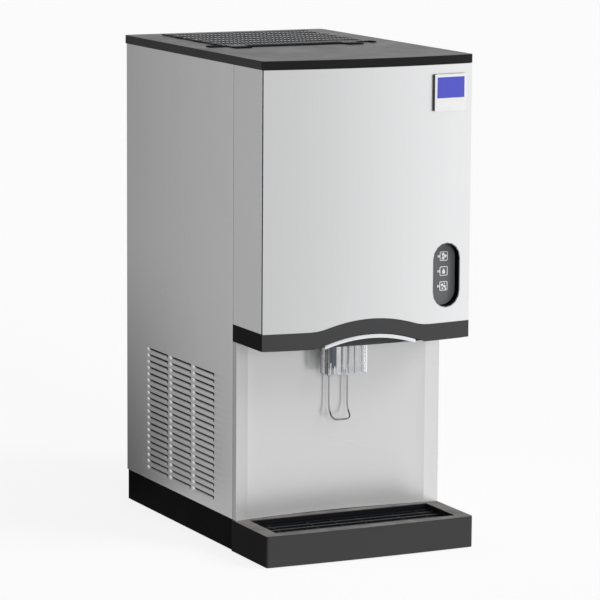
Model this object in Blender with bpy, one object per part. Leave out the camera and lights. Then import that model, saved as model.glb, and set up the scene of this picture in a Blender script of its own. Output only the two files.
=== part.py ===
"""Countertop ice dispenser, built as separate pieces at real size.

Metres, +Z up. The front faces -Y. The origin is the centre of the footprint, on the counter.
"""
import math

import bmesh
import bpy
from mathutils import Matrix, Vector

# Driving dimensions
WIDTH = 0.41275
DEPTH = 0.6096
HEIGHT = 0.889
COVER_HEIGHT = 0.0155
MODULE_DEPTH = 0.122
BASE_HEIGHT = 0.0593
BAND_BOTTOM = 0.382
BAND_HEIGHT = 0.030
TRAY_HEIGHT = 0.058
TRAY_REACH = 0.0262
TRAY_BOW = 0.004
FRONT_BOW = 0.0175
CHUTE_DROP = 0.066
SHEET = 0.001
GAP = 0.0003
RUNNING = 0.0001
OVERRUN = 0.02

# Planes that several pieces share
FRONT = (TRAY_REACH + TRAY_BOW - DEPTH) / 2
BACK = FRONT + DEPTH
SEAM = FRONT + MODULE_DEPTH
PANEL_INSET = 0.003
PANEL_X = WIDTH / 2 - PANEL_INSET
REAR_INSET = 0.0082
PANEL_BACK = BACK - REAR_INSET
COVER_BOTTOM = HEIGHT - COVER_HEIGHT
COVER_WALL = 0.0026
COVER_CEILING = HEIGHT - COVER_WALL
BAND_TOP = BAND_BOTTOM + BAND_HEIGHT
BASE_INSET = 0.0043
BASE_X = WIDTH / 2 - BASE_INSET
BASE_WALL = 0.003
FLOOR_BOTTOM = 0.006
FLOOR_TOP = FLOOR_BOTTOM + BASE_WALL
SHELF_BOTTOM = 0.446
SHELF_TOP = SHELF_BOTTOM + 2 * SHEET
DOOR_CORNER = FRONT - 0.0022

# Facets
ROUND_STEPS = 20
SMALL_STEPS = 12
BOW_STEPS = 16
CORNER_STEPS = 4
SMOOTH_ANGLE = math.radians(32)


def clear_scene():
    for old in list(bpy.data.objects):
        bpy.data.objects.remove(old)


def finish(colour, roughness, metallic=0.0, name="finish"):
    """A Principled material of one colour."""
    material = bpy.data.materials.new(name)
    material.use_nodes = True
    shader = material.node_tree.nodes["Principled BSDF"]
    shader.inputs["Base Color"].default_value = (*colour, 1.0)
    shader.inputs["Roughness"].default_value = roughness
    shader.inputs["Metallic"].default_value = metallic
    return material


def stainless():
    return finish((0.62, 0.63, 0.64), 0.32, 1.0, "stainless")


def dark_plastic():
    return finish((0.055, 0.056, 0.06), 0.5, 0.0, "dark plastic")


def black_plastic():
    return finish((0.012, 0.012, 0.013), 0.45, 0.0, "black plastic")


def white_plastic():
    return finish((0.8, 0.8, 0.78), 0.45, 0.0, "white plastic")


def clear_plastic():
    return finish((0.82, 0.86, 0.88), 0.08, 0.0, "clear plastic")


def steel():
    return finish((0.5, 0.5, 0.5), 0.35, 1.0, "steel")


def copper():
    return finish((0.72, 0.42, 0.28), 0.35, 1.0, "copper")


def brass():
    return finish((0.7, 0.52, 0.24), 0.35, 1.0, "brass")


def circuit_board():
    return finish((0.03, 0.16, 0.08), 0.5, 0.0, "circuit board")


def rubber():
    return finish((0.02, 0.02, 0.02), 0.85, 0.0, "rubber")


def make(name, mesh_data, material):
    """Put a bmesh into the scene as one named object."""
    mesh = bpy.data.meshes.new(name)
    mesh_data.to_mesh(mesh)
    mesh_data.free()
    mesh.materials.append(material)
    piece = bpy.data.objects.new(name, mesh)
    bpy.context.scene.collection.objects.link(piece)
    return piece


def combine(piece, other_data, operation):
    """Apply one exact Boolean to a piece and drop the other shape."""
    other = make("cutter", other_data, piece.data.materials[0])
    other.hide_render = True
    other.display_type = "WIRE"
    step = piece.modifiers.new(operation.lower(), "BOOLEAN")
    step.operation = operation
    step.solver = "EXACT"
    step.object = other
    bpy.context.view_layer.update()
    graph = bpy.context.evaluated_depsgraph_get()
    result = bpy.data.meshes.new_from_object(piece.evaluated_get(graph))
    piece.modifiers.clear()
    piece.data = result
    bpy.data.objects.remove(other)
    return piece


def cut(piece, *others):
    for other in others:
        combine(piece, other, "DIFFERENCE")
    return piece


def fuse(piece, *others):
    for other in others:
        combine(piece, other, "UNION")
    return piece


def absorbed(piece):
    """A piece's shape as a bmesh, with the piece itself removed."""
    data = bmesh.new()
    data.from_mesh(piece.data)
    bpy.data.objects.remove(piece)
    return data


def smooth(piece):
    piece.data.shade_smooth()
    piece.data.set_sharp_from_angle(angle=SMOOTH_ANGLE)
    return piece


def rounded(piece, width, segments=2, angle=math.radians(50)):
    """Round the sharp edges with a live Bevel."""
    bevel = piece.modifiers.new("edge", "BEVEL")
    bevel.width = width
    bevel.segments = segments
    bevel.limit_method = "ANGLE"
    bevel.angle_limit = angle
    return piece


def prism(outline, low, high, axis="Z"):
    """An outline carried from low to high along one axis."""
    spots = {"X": lambda a, b, c: (c, a, b), "Y": lambda a, b, c: (a, c, b), "Z": lambda a, b, c: (a, b, c)}
    spot = spots[axis]
    data = bmesh.new()
    first = [data.verts.new(spot(a, b, low)) for a, b in outline]
    last = [data.verts.new(spot(a, b, high)) for a, b in outline]
    data.faces.new(first)
    data.faces.new(last)
    for i in range(len(outline)):
        j = (i + 1) % len(outline)
        data.faces.new((first[i], first[j], last[j], last[i]))
    bmesh.ops.recalc_face_normals(data, faces=data.faces)
    return data


def block(x0, x1, y0, y1, z0, z1):
    return prism([(x0, y0), (x1, y0), (x1, y1), (x0, y1)], z0, z1)


def circle(centre, radius, steps, start=0.0):
    """Points round a centre."""
    turn = 2 * math.pi / steps
    return [(centre[0] + radius * math.cos(start + turn * i), centre[1] + radius * math.sin(start + turn * i))
            for i in range(steps)]


def around(centre, radius, start, end, steps):
    """Points of an arc from one angle to another."""
    turn = (end - start) / steps
    return [(centre[0] + radius * math.cos(start + turn * i), centre[1] + radius * math.sin(start + turn * i))
            for i in range(steps + 1)]


def cylinder(centre, radius, low, high, axis="Z", steps=SMALL_STEPS):
    return prism(circle(centre, radius, steps, math.pi / steps), low, high, axis)


def round_box(x0, x1, y0, y1, radius, steps=CORNER_STEPS):
    """Outline of a rectangle with round corners."""
    corners = [((x1 - radius, y1 - radius), 0.0), ((x0 + radius, y1 - radius), 0.5 * math.pi),
               ((x0 + radius, y0 + radius), math.pi), ((x1 - radius, y0 + radius), 1.5 * math.pi)]
    points = []
    for centre, start in corners:
        points += around(centre, radius, start, start + 0.5 * math.pi, steps)
    return points


def stadium(centre, radius, straight, steps):
    """Upright outline with round ends."""
    top = around((centre[0], centre[1] + straight / 2), radius, 0.0, math.pi, steps)
    bottom = around((centre[0], centre[1] - straight / 2), radius, math.pi, 2 * math.pi, steps)
    return top + bottom


def turned(profile, centre, axis="Z", steps=ROUND_STEPS):
    """A profile of (radius, height) turned once round an axis."""
    spots = {"X": lambda r, s, h: (h, centre[0] + r, centre[1] + s),
             "Y": lambda r, s, h: (centre[0] + r, h, centre[1] + s),
             "Z": lambda r, s, h: (centre[0] + r, centre[1] + s, h)}
    spot = spots[axis]
    data = bmesh.new()
    rings = []
    for radius, height in profile:
        if radius == 0:
            rings.append([data.verts.new(spot(0, 0, height))])
            continue
        ring = circle((0, 0), radius, steps, math.pi / steps)
        rings.append([data.verts.new(spot(a, b, height)) for a, b in ring])
    pairs = list(zip(rings, rings[1:]))
    if len(rings[0]) > 1 and len(rings[-1]) > 1:
        pairs.append((rings[-1], rings[0]))
    for low, high in pairs:
        for i in range(steps):
            j = (i + 1) % steps
            corners = [low[i % len(low)], low[j % len(low)], high[j % len(high)], high[i % len(high)]]
            data.faces.new(list(dict.fromkeys(corners)))
    bmesh.ops.recalc_face_normals(data, faces=data.faces)
    return data


def offset_path(path, distance):
    """The same open path, moved sideways to its left by a distance, with mitred corners."""
    moved = []
    for i, point in enumerate(path):
        before = Vector(path[max(i - 1, 0)])
        after = Vector(path[min(i + 1, len(path) - 1)])
        here = Vector(point)
        first = (here - before).normalized() if i else (after - here).normalized()
        second = (after - here).normalized() if i < len(path) - 1 else first
        side = Vector((-first.y - second.y, first.x + second.x))
        side *= 2 * distance / side.length_squared
        moved.append((here.x + side.x, here.y + side.y))
    return moved


def sheet_along(path, thickness, low, high):
    """Sheet metal that follows a plan path, with its thickness to the path's left."""
    return prism(path + offset_path(path, thickness)[::-1], low, high)


def tube_along(points, radius, sides=8):
    """A round bar that follows points in space."""
    data = bmesh.new()
    count = len(points)
    spots = [Vector(p) for p in points]
    rings = []
    normal = None
    for i, here in enumerate(spots):
        ahead = (spots[min(i + 1, count - 1)] - here).normalized()
        behind = (here - spots[max(i - 1, 0)]).normalized()
        along = (ahead + behind).normalized()
        if normal is None:
            normal = along.orthogonal().normalized()
        normal = (normal - along * normal.dot(along)).normalized()
        across = along.cross(normal)
        bend = max(ahead.dot(behind), -0.2) if 0 < i < count - 1 else 1.0
        widen = 1 / math.sqrt((1 + bend) / 2)
        turn_axis = ahead.cross(behind)
        ring = []
        for k in range(sides):
            angle = 2 * math.pi * (k + 0.5) / sides
            arm = normal * math.cos(angle) + across * math.sin(angle)
            if turn_axis.length > 0.001:
                inward = turn_axis.normalized().cross(along).normalized()
                arm += inward * arm.dot(inward) * (widen - 1)
            ring.append(data.verts.new(here + arm * radius))
        rings.append(ring)
    for low, high in zip(rings, rings[1:]):
        for k in range(sides):
            j = (k + 1) % sides
            data.faces.new((low[k], low[j], high[j], high[k]))
    data.faces.new(rings[0][::-1])
    data.faces.new(rings[-1])
    bmesh.ops.recalc_face_normals(data, faces=data.faces)
    return data


def bent(points, radius, steps=3):
    """A path through points whose corners are rounded by a bend radius."""
    spots = [Vector(p) for p in points]
    path = [spots[0]]
    for before, here, after in zip(spots, spots[1:], spots[2:]):
        back = (before - here).normalized()
        ahead = (after - here).normalized()
        half = back.angle(ahead) / 2
        reach = radius / math.tan(half)
        centre = here + (back + ahead).normalized() * radius / math.sin(half)
        start = here + back * reach - centre
        swing = math.pi - 2 * half
        axis = start.cross(here + ahead * reach - centre).normalized()
        path += [centre + Matrix.Rotation(swing * k / steps, 3, axis) @ start for k in range(steps + 1)]
    path.append(spots[-1])
    return path


def thicken(data, shift):
    """Give an open single-layer mesh a second layer and rims."""
    faces = list(data.faces)
    rims = [edge for edge in data.edges if len(edge.link_faces) == 1]
    twins = {vert: data.verts.new(vert.co + Vector(shift)) for vert in list(data.verts)}
    for face in faces:
        data.faces.new([twins[vert] for vert in reversed(face.verts)])
    for edge in rims:
        first, second = edge.verts
        data.faces.new((first, second, twins[second], twins[first]))
    bmesh.ops.recalc_face_normals(data, faces=data.faces)
    return data


def lattice_plate(across, along, low, high):
    """A flat plate whose every other cell both ways is a rectangular hole."""
    data = bmesh.new()
    grid = [[data.verts.new((x, y, high)) for y in along] for x in across]
    for i in range(len(across) - 1):
        for j in range(len(along) - 1):
            if i % 2 == 1 and j % 2 == 1:
                continue
            data.faces.new((grid[i][j], grid[i + 1][j], grid[i + 1][j + 1], grid[i][j + 1]))
    return thicken(data, (0, 0, low - high))


def striped(low, high, count, rib):
    """Edges of equal openings between ribs, with a rib at each end."""
    opening = (high - low - rib * (count + 1)) / count
    edges = [low]
    for i in range(count):
        start = low + rib + i * (rib + opening)
        edges += [start, start + opening]
    return edges + [high]


def bow_y(x, corner_y, half, bow):
    """Depth of a front that bows towards -Y between its corners."""
    return corner_y - bow * (1 - (x / half) ** 2)


def bow_path(corner_y, half, bow, steps=BOW_STEPS):
    """Plan points of a bowed front from -X to +X."""
    places = [half * (2 * i / steps - 1) for i in range(steps + 1)]
    return [(x, bow_y(x, corner_y, half, bow)) for x in places]


def nosed_front(corner_y, half, bow, radius, steps=BOW_STEPS):
    """A bowed front from -X to +X whose two ends turn into the sides with a radius."""
    inner = half - radius
    places = [inner * (2 * i / steps - 1) for i in range(steps + 1)]
    middle = [(x, bow_y(x, corner_y, half, bow)) for x in places]
    left = around((-inner, middle[0][1] + radius), radius, math.pi, 1.5 * math.pi, 3)[:-1]
    return left + middle + [(-x, y) for x, y in left[::-1]]


# Base pan: a shallow tub on rubber runners
SKIRT_LIFT = 0.0015
PAD_WIDTH = 0.030
PAD_INSET = 0.012
DRAIN_X = PANEL_X - 0.2334
DRAIN_Z = 0.0215
DRAIN_RADIUS = 0.007
DRAIN_WALL = 0.0015
PAN_FRONT = SEAM + GAP
NOTCH_HALF = BASE_X - 0.032
NOTCH_LOW = TRAY_HEIGHT - 2 * SHEET


def base_pan():
    outer = block(-BASE_X, BASE_X, PAN_FRONT, PANEL_BACK, SKIRT_LIFT, BASE_HEIGHT)
    pan = make("base_pan", outer, black_plastic())
    inner_x = BASE_X - BASE_WALL
    inner_front = PAN_FRONT + BASE_WALL
    inner_back = PANEL_BACK - BASE_WALL
    cut(pan, block(-inner_x, inner_x, inner_front, inner_back, FLOOR_TOP, BASE_HEIGHT + OVERRUN))
    cut(pan, block(-inner_x, inner_x, inner_front, inner_back, -OVERRUN, FLOOR_BOTTOM))
    cut(pan, block(-NOTCH_HALF, NOTCH_HALF, PAN_FRONT - OVERRUN, inner_front + OVERRUN, NOTCH_LOW,
                   BASE_HEIGHT + OVERRUN))
    passage = (DRAIN_X, DRAIN_Z)
    cut(pan, cylinder(passage, DRAIN_RADIUS + 2 * GAP, PAN_FRONT - OVERRUN, PANEL_BACK + OVERRUN, "Y"))
    return pan


def foot_runner(name, side):
    """Rubber runner under one long side of the pan."""
    outer = side * (BASE_X - PAD_INSET)
    inner = side * (BASE_X - PAD_INSET - PAD_WIDTH)
    outline = round_box(min(outer, inner), max(outer, inner), PAN_FRONT + PAD_INSET, PANEL_BACK - PAD_INSET,
                        PAD_INSET)
    return smooth(make(name, prism(outline, 0, FLOOR_BOTTOM - GAP), rubber()))


# Side panels: folded sheets, the left one with three columns of louvres pressed inwards
PANEL_LOW = BASE_HEIGHT + GAP
PANEL_HIGH = COVER_CEILING - GAP
PANEL_FRONT = SEAM + GAP
FLANGE = 0.012
LOUVRE_ROWS = 20
LOUVRE_COLUMNS = 3
LOUVRE_PITCH = 0.01187
LOUVRE_HEIGHT = 0.0080
BODY_DEPTH = PANEL_BACK - SEAM
LOUVRE_LENGTH = 0.1564 * BODY_DEPTH
LOUVRE_COLUMN_PITCH = 0.217 * BODY_DEPTH
LOUVRE_DEPTH = 0.0036
LOUVRE_RAMP = 0.012
LOUVRE_FRONT = SEAM + 0.172 * BODY_DEPTH
LOUVRE_LOW = BASE_HEIGHT + 0.0183


def louvred_sheet():
    """One grid of faces; each louvre's upper edge leaves the sheet and lies deeper than it."""
    starts = [LOUVRE_FRONT + LOUVRE_COLUMN_PITCH * i for i in range(LOUVRE_COLUMNS)]
    along = [PANEL_FRONT]
    pressed = set()
    for start in starts:
        pressed.update((len(along) + 1, len(along) + 2))
        along += [start, start + LOUVRE_RAMP, start + LOUVRE_LENGTH - LOUVRE_RAMP, start + LOUVRE_LENGTH]
    along.append(PANEL_BACK)
    heights = [PANEL_LOW]
    for row in range(LOUVRE_ROWS):
        foot = LOUVRE_LOW + LOUVRE_PITCH * row
        heights += [foot, foot + LOUVRE_HEIGHT]
    heights.append(PANEL_HIGH)
    data = bmesh.new()
    flat = [[data.verts.new((-PANEL_X, y, z)) for z in heights] for y in along]
    lips = {}
    for i in sorted(pressed):
        for row in range(LOUVRE_ROWS):
            lips[i, 2 * row + 2] = data.verts.new((-PANEL_X + LOUVRE_DEPTH, along[i], heights[2 * row + 2]))
    for i in range(len(along) - 1):
        in_column = i in pressed or i + 1 in pressed
        for k in range(len(heights) - 1):
            near, far = flat[i][k], flat[i + 1][k]
            far_top, near_top = flat[i + 1][k + 1], flat[i][k + 1]
            if in_column and k % 2 == 1:
                far_top = lips.get((i + 1, k + 1), far_top)
                near_top = lips.get((i, k + 1), near_top)
            if (far_top in lips.values()) == (near_top in lips.values()):
                data.faces.new((near, far, far_top, near_top))
                continue
            start, others = (near, (far, far_top, near_top)) if i + 1 in pressed else (far, (far_top, near_top, near))
            data.faces.new((start, others[0], others[1]))
            data.faces.new((start, others[1], others[2]))
    return thicken(data, (SHEET, 0, 0))


def flanges(side):
    """Folded edges of a side panel, on the side given by -1 or 1."""
    outer = PANEL_X * side
    inner = (PANEL_X - FLANGE) * side
    x0 = min(outer, inner)
    x1 = max(outer, inner)
    low = block(x0, x1, PANEL_FRONT, PANEL_BACK, PANEL_LOW, PANEL_LOW + SHEET)
    high = block(x0, x1, PANEL_FRONT, PANEL_BACK, PANEL_HIGH - SHEET, PANEL_HIGH)
    rear = block(x0, x1, PANEL_BACK - SHEET, PANEL_BACK, PANEL_LOW, PANEL_HIGH)
    front = block(x0, x1, PANEL_FRONT, PANEL_FRONT + SHEET, PANEL_LOW, PANEL_HIGH)
    return low, high, rear, front


def left_side_panel():
    return fuse(make("left_side_panel", louvred_sheet(), stainless()), *flanges(-1))


def right_side_panel():
    plain = block(PANEL_X - SHEET, PANEL_X, PANEL_FRONT, PANEL_BACK, PANEL_LOW, PANEL_HIGH)
    return fuse(make("right_side_panel", plain, stainless()), *flanges(1))


# Rear panel with its fittings
REAR_OUTER = PANEL_BACK + GAP + SHEET
INLET_X = 0.097 - BASE_X
INLET_Z = 0.120
INLET_RADIUS = 0.008
GLAND_X = 0.042 - BASE_X
GLAND_Z = 0.120
GLAND_RADIUS = 0.009
SCREW_RADIUS = 0.0042
SCREW_HEAD = 0.0022
SCREW_INSET = 0.0085
SCREW_ROWS = 5
FITTING_END = BACK - SHEET


def rear_panel():
    half = PANEL_X - 2 * SHEET
    flat = block(-half, half, PANEL_BACK + GAP, REAR_OUTER, PANEL_LOW, PANEL_HIGH)
    panel = make("rear_panel", flat, stainless())
    for spot, radius in (((INLET_X, INLET_Z), INLET_RADIUS), ((GLAND_X, GLAND_Z), GLAND_RADIUS)):
        cut(panel, cylinder(spot, radius + GAP, PANEL_BACK - OVERRUN, BACK + OVERRUN, "Y"))
    rise = (COVER_BOTTOM - PANEL_LOW - 4 * SCREW_INSET) / (SCREW_ROWS - 1)
    for i in range(SCREW_ROWS):
        for side in (-1, 1):
            spot = (side * (PANEL_X - SCREW_INSET), PANEL_LOW + 2 * SCREW_INSET + rise * i)
            fuse(panel, cylinder(spot, SCREW_RADIUS, REAR_OUTER - SHEET / 2, REAR_OUTER + SCREW_HEAD, "Y", 8))
    return panel


def water_inlet():
    rear = REAR_OUTER + GAP
    hex_radius = 2 * INLET_RADIUS
    nut_end = (rear + FITTING_END) / 2
    fitting = make("water_inlet", cylinder((INLET_X, INLET_Z), hex_radius, rear, nut_end, "Y", 6), brass())
    fuse(fitting, cylinder((INLET_X, INLET_Z), INLET_RADIUS, PANEL_BACK - INLET_RADIUS, FITTING_END, "Y"))
    cut(fitting, cylinder((INLET_X, INLET_Z), INLET_RADIUS / 2, REAR_OUTER, FITTING_END + OVERRUN, "Y"))
    return fitting


def cord_gland():
    rear = REAR_OUTER + GAP
    profile = [(GLAND_RADIUS / 2, PANEL_BACK - GLAND_RADIUS), (GLAND_RADIUS, PANEL_BACK - GLAND_RADIUS),
               (GLAND_RADIUS, rear), (1.6 * GLAND_RADIUS, rear), (1.5 * GLAND_RADIUS, (rear + FITTING_END) / 2),
               (GLAND_RADIUS, FITTING_END), (GLAND_RADIUS / 2, FITTING_END)]
    return smooth(make("cord_gland", turned(profile, (GLAND_X, GLAND_Z), "Y", SMALL_STEPS), black_plastic()))


# Front module: cheeks, bowed panel, band and trim
RETURN_DEPTH = 0.012
HEM = 2 * SHEET + GAP
HEM_INSET = 0.0025
CHEEK_FRONT = FRONT + 0.0058
CHEEK_LOW = BAND_TOP + GAP
WAVE_RISE = 0.0184
WAVE_HALF = 0.117
WAVE_BREAK_SHARE = 0.727
WAVE_STEPS = 10


def cheek(name, side):
    outer = PANEL_X * side
    inner = (PANEL_X - SHEET) * side
    lip = (PANEL_X - FLANGE) * side
    high = PANEL_HIGH
    back = SEAM - GAP
    flat = block(min(outer, inner), max(outer, inner), CHEEK_FRONT, back, CHEEK_LOW, high)
    panel = make(name, flat, stainless())
    fuse(panel, block(min(outer, lip), max(outer, lip), back - SHEET, back, CHEEK_LOW, high))
    behind = DOOR_CORNER + RETURN_DEPTH + GAP
    fuse(panel, block(min(outer, lip), max(outer, lip), behind, back, high - SHEET, high))
    return panel


def wave(x, rise):
    """A crest made of two parabolas that meet without a kink."""
    share = abs(x) / WAVE_HALF
    if share >= 1:
        return 0.0
    if share <= WAVE_BREAK_SHARE:
        return rise * (1 - share ** 2 / WAVE_BREAK_SHARE)
    return rise * (1 - share) ** 2 / (1 - WAVE_BREAK_SHARE)


def wave_outline(base, far):
    """Everything between the wave's line and a far level, in X and Z."""
    reach = WIDTH
    crest = [WAVE_HALF * (i / WAVE_STEPS - 1) for i in range(2 * WAVE_STEPS + 1)]
    return [(-reach, base)] + [(x, base + wave(x, WAVE_RISE)) for x in crest] + [(reach, base), (reach, far),
                                                                                (-reach, far)]


OVAL_X = PANEL_X - 0.0499
OVAL_Z = BAND_TOP + 0.0856
OVAL_RADIUS = 0.029
OVAL_STRAIGHT = 0.0586


def front_panel():
    inset = PANEL_X - HEM_INSET
    bow = bow_path(DOOR_CORNER, PANEL_X, FRONT_BOW)
    hem = DOOR_CORNER + HEM
    left = [(-inset, DOOR_CORNER + RETURN_DEPTH), (-inset, hem), (-PANEL_X, hem)]
    right = [(-x, y) for x, y in left[::-1]]
    plan = sheet_along(left + bow + right, SHEET, BAND_TOP - OVERRUN, COVER_BOTTOM - GAP)
    panel = make("front_panel", plan, stainless())
    reach = FRONT - FRONT_BOW - OVERRUN
    cut(panel, prism(wave_outline(BAND_TOP + GAP, BAND_TOP - 2 * OVERRUN), reach, SEAM, "Y"))
    cut(panel, prism(stadium((OVAL_X, OVAL_Z), OVAL_RADIUS, OVAL_STRAIGHT, 8), reach, SEAM, "Y"))
    return smooth(panel)


BAND_X = WIDTH / 2 - 0.002
BAND_WALL = 0.0025
BAND_CORNER = DOOR_CORNER - SHEET
ARCH_HALF = 0.1075
ARCH_RISE = 0.0222
VALANCE_SETBACK = 0.0135
VALANCE_HALF = 0.116
STRIP_HALF = 0.0965
STRIP_HEIGHT = 0.0064
STRIP_SETBACK = 0.001
STRIP_STEPS = 20


def arch(x):
    """Height of the arch's edge above the band's bottom."""
    return ARCH_RISE * (1 - (x / ARCH_HALF) ** 2)


def band_path():
    bow = bow_path(BAND_CORNER, BAND_X, FRONT_BOW)
    back = SEAM - GAP
    nose = BAND_CORNER + BAND_WALL
    return [(-BAND_X, back), (-BAND_X, nose)] + bow[1:-1] + [(BAND_X, nose), (BAND_X, back)]


def valance_path(setback):
    places = [VALANCE_HALF * (i / CORNER_STEPS - 1) for i in range(2 * CORNER_STEPS + 1)]
    return [(x, bow_y(x, BAND_CORNER, BAND_X, FRONT_BOW) + setback) for x in places]


def band_trim():
    top = BAND_TOP + WAVE_RISE + SHEET
    band = make("band_trim", sheet_along(band_path(), BAND_WALL, BAND_BOTTOM, top), dark_plastic())
    reach = FRONT - FRONT_BOW - OVERRUN
    cut(band, prism(wave_outline(BAND_TOP, top + OVERRUN), reach, SEAM + OVERRUN, "Y"))
    arch_x = [ARCH_HALF * (i / WAVE_STEPS - 1) for i in range(2 * WAVE_STEPS + 1)]
    opening = [(x, BAND_BOTTOM + arch(x)) for x in arch_x] + [(ARCH_HALF, BAND_BOTTOM - OVERRUN),
                                                               (-ARCH_HALF, BAND_BOTTOM - OVERRUN)]
    valance_front = FRONT - FRONT_BOW + BAND_WALL
    cut(band, prism(opening, reach, valance_front + 2 * BAND_WALL, "Y"))
    shelf_low = BAND_BOTTOM + ARCH_RISE + BAND_WALL / 2
    shelf = valance_path(BAND_WALL / 2) + valance_path(VALANCE_SETBACK + BAND_WALL)[::-1]
    fuse(band, prism(shelf, shelf_low, shelf_low + BAND_WALL))
    fuse(band, sheet_along(valance_path(VALANCE_SETBACK), BAND_WALL, BAND_BOTTOM, shelf_low + BAND_WALL))
    for side in (-1, 1):
        x = side * VALANCE_HALF
        near = bow_y(x, BAND_CORNER, BAND_X, FRONT_BOW)
        web = x - side * BAND_WALL
        fuse(band, block(min(x, web), max(x, web), near + BAND_WALL / 2, near + VALANCE_SETBACK + BAND_WALL / 2,
                         BAND_BOTTOM, shelf_low + BAND_WALL / 2))
    return smooth(band)


def arc_strip():
    """Bar under the arch; its round nose faces out and its flat back meets the valance."""
    data = bmesh.new()
    radius = STRIP_HEIGHT / 2
    depth = VALANCE_SETBACK - GAP - STRIP_SETBACK
    nose = around((radius, 0), radius, 0.5 * math.pi, 1.5 * math.pi, CORNER_STEPS)
    section = nose + [(depth, -radius), (depth, radius)]
    rings = []
    for i in range(STRIP_STEPS + 1):
        x = STRIP_HALF * (2 * i / STRIP_STEPS - 1)
        y = bow_y(x, BAND_CORNER, BAND_X, FRONT_BOW) + STRIP_SETBACK
        z = BAND_BOTTOM + arch(x) - GAP - radius
        rings.append([data.verts.new((x, y + a, z + b)) for a, b in section])
    for low, high in zip(rings, rings[1:]):
        for k in range(len(section)):
            j = (k + 1) % len(section)
            data.faces.new((low[k], low[j], high[j], high[k]))
    data.faces.new(rings[0])
    data.faces.new(rings[-1])
    bmesh.ops.recalc_face_normals(data, faces=data.faces)
    return smooth(make("arc_strip", data, finish((0.75, 0.76, 0.77), 0.2, 1.0, "bright trim")))


# Splash panel: angled side strips and a shallow hollow between them
SPLASH_BEND_X = PANEL_X - 0.0254
SPLASH_EDGE = FRONT + 0.107
SPLASH_BEND = FRONT + 0.1130
SPLASH_HOLLOW = 0.0115
SPLASH_LOW = TRAY_HEIGHT + GAP
SPLASH_HIGH = BAND_BOTTOM - GAP


def splash_path(forward=0.0):
    places = [SPLASH_BEND_X * (2 * i / BOW_STEPS - 1) for i in range(BOW_STEPS + 1)]
    middle = [(x, SPLASH_BEND + SPLASH_HOLLOW * (1 - (x / SPLASH_BEND_X) ** 2)) for x in places]
    path = [(-PANEL_X, SPLASH_EDGE)] + middle + [(PANEL_X, SPLASH_EDGE)]
    return [(x, y - forward) for x, y in path]


def splash_panel():
    back = SEAM - GAP
    path = [(-PANEL_X, back)] + splash_path() + [(PANEL_X, back)]
    return smooth(make("splash_panel", sheet_along(path, SHEET, SPLASH_LOW, SPLASH_HIGH), stainless()))


# Ice chute, water nozzle and the wire lever behind them
CHUTE_HALF = 0.040
CHUTE_BACK = FRONT + 0.104
CHUTE_SIDE_FRONT = FRONT + 0.0735
CHUTE_BOW = 0.009
CHUTE_WALL = 0.0025
CHUTE_LOW = BAND_BOTTOM - CHUTE_DROP
CHUTE_HIGH = SHELF_BOTTOM - GAP
CHUTE_STEPS = 8
NOZZLE_RADIUS = 0.0075
NOZZLE_BORE = 0.005
NOZZLE_LIFT = 0.004
NOZZLE_BACK = CHUTE_BACK - CHUTE_WALL - NOZZLE_BORE / 2
CEILING_HIGH = BAND_BOTTOM + BAND_WALL
LEG_HALF = 0.0185
WIRE_RADIUS = 0.0015
PIVOT_Y = FRONT + 0.111
PIVOT_Z = BAND_BOTTOM + 0.018
PIN_RADIUS = 0.002
HUB_RADIUS = 0.0058
HUB_HALF = 0.026
EAR_INNER = HUB_HALF + 0.004
EAR_OUTER = EAR_INNER + 0.003
BRACKET_FRONT = CHUTE_BACK + 2 * GAP
BRACKET_BACK = BRACKET_FRONT + 0.013
BRIDGE_LOW = BAND_BOTTOM + 0.042
LEVER_LEG_LOW = 0.247
LEVER_KICK = 0.024
LEVER_CORNER = 0.012
LEVER_SLANT = math.radians(45)
FINGER_REACH = 0.0185
FINGER_HALF = 0.0015
FINGER_WIDTH = 0.005
PLUNGER_REACH = 0.016
PLUNGER_RADIUS = 0.0015
PLUNGER_LENGTH = 0.0090
SWITCH_LOW = PIVOT_Z + 0.0085
SWITCH_HALF = 0.010
SWITCH_FRONT = PIVOT_Y + 0.0090
SWITCH_BACK = PIVOT_Y + 0.0225
PLUNGER_STEPS = 8


def chute_outline(inward, stretch=0.0):
    half = CHUTE_HALF - inward
    back = CHUTE_BACK - inward + stretch
    side = CHUTE_SIDE_FRONT + inward
    front = [(half * (2 * i / CHUTE_STEPS - 1), 0) for i in range(CHUTE_STEPS + 1)]
    front = [(x, side - CHUTE_BOW * (1 - (x / half) ** 4)) for x, _ in front]
    return front + [(half, back), (-half, back)]


def ice_chute():
    chute = make("ice_chute", prism(chute_outline(0), CHUTE_LOW, CHUTE_HIGH), clear_plastic())
    cut(chute, prism(chute_outline(CHUTE_WALL), CHUTE_LOW - OVERRUN, CHUTE_HIGH + OVERRUN))
    return smooth(chute)


def water_nozzle():
    centre = (0, NOZZLE_BACK - NOZZLE_RADIUS)
    low = CHUTE_LOW + NOZZLE_LIFT
    high = SHELF_BOTTOM - GAP
    nozzle = make("water_nozzle", cylinder(centre, NOZZLE_RADIUS, low, high), clear_plastic())
    seat = CHUTE_BACK - CHUTE_WALL - GAP
    fuse(nozzle, block(-SHEET, SHEET, centre[1], seat, low + NOZZLE_RADIUS, high))
    cut(nozzle, cylinder(centre, NOZZLE_BORE, low - OVERRUN, high + OVERRUN))
    return smooth(nozzle)


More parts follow.
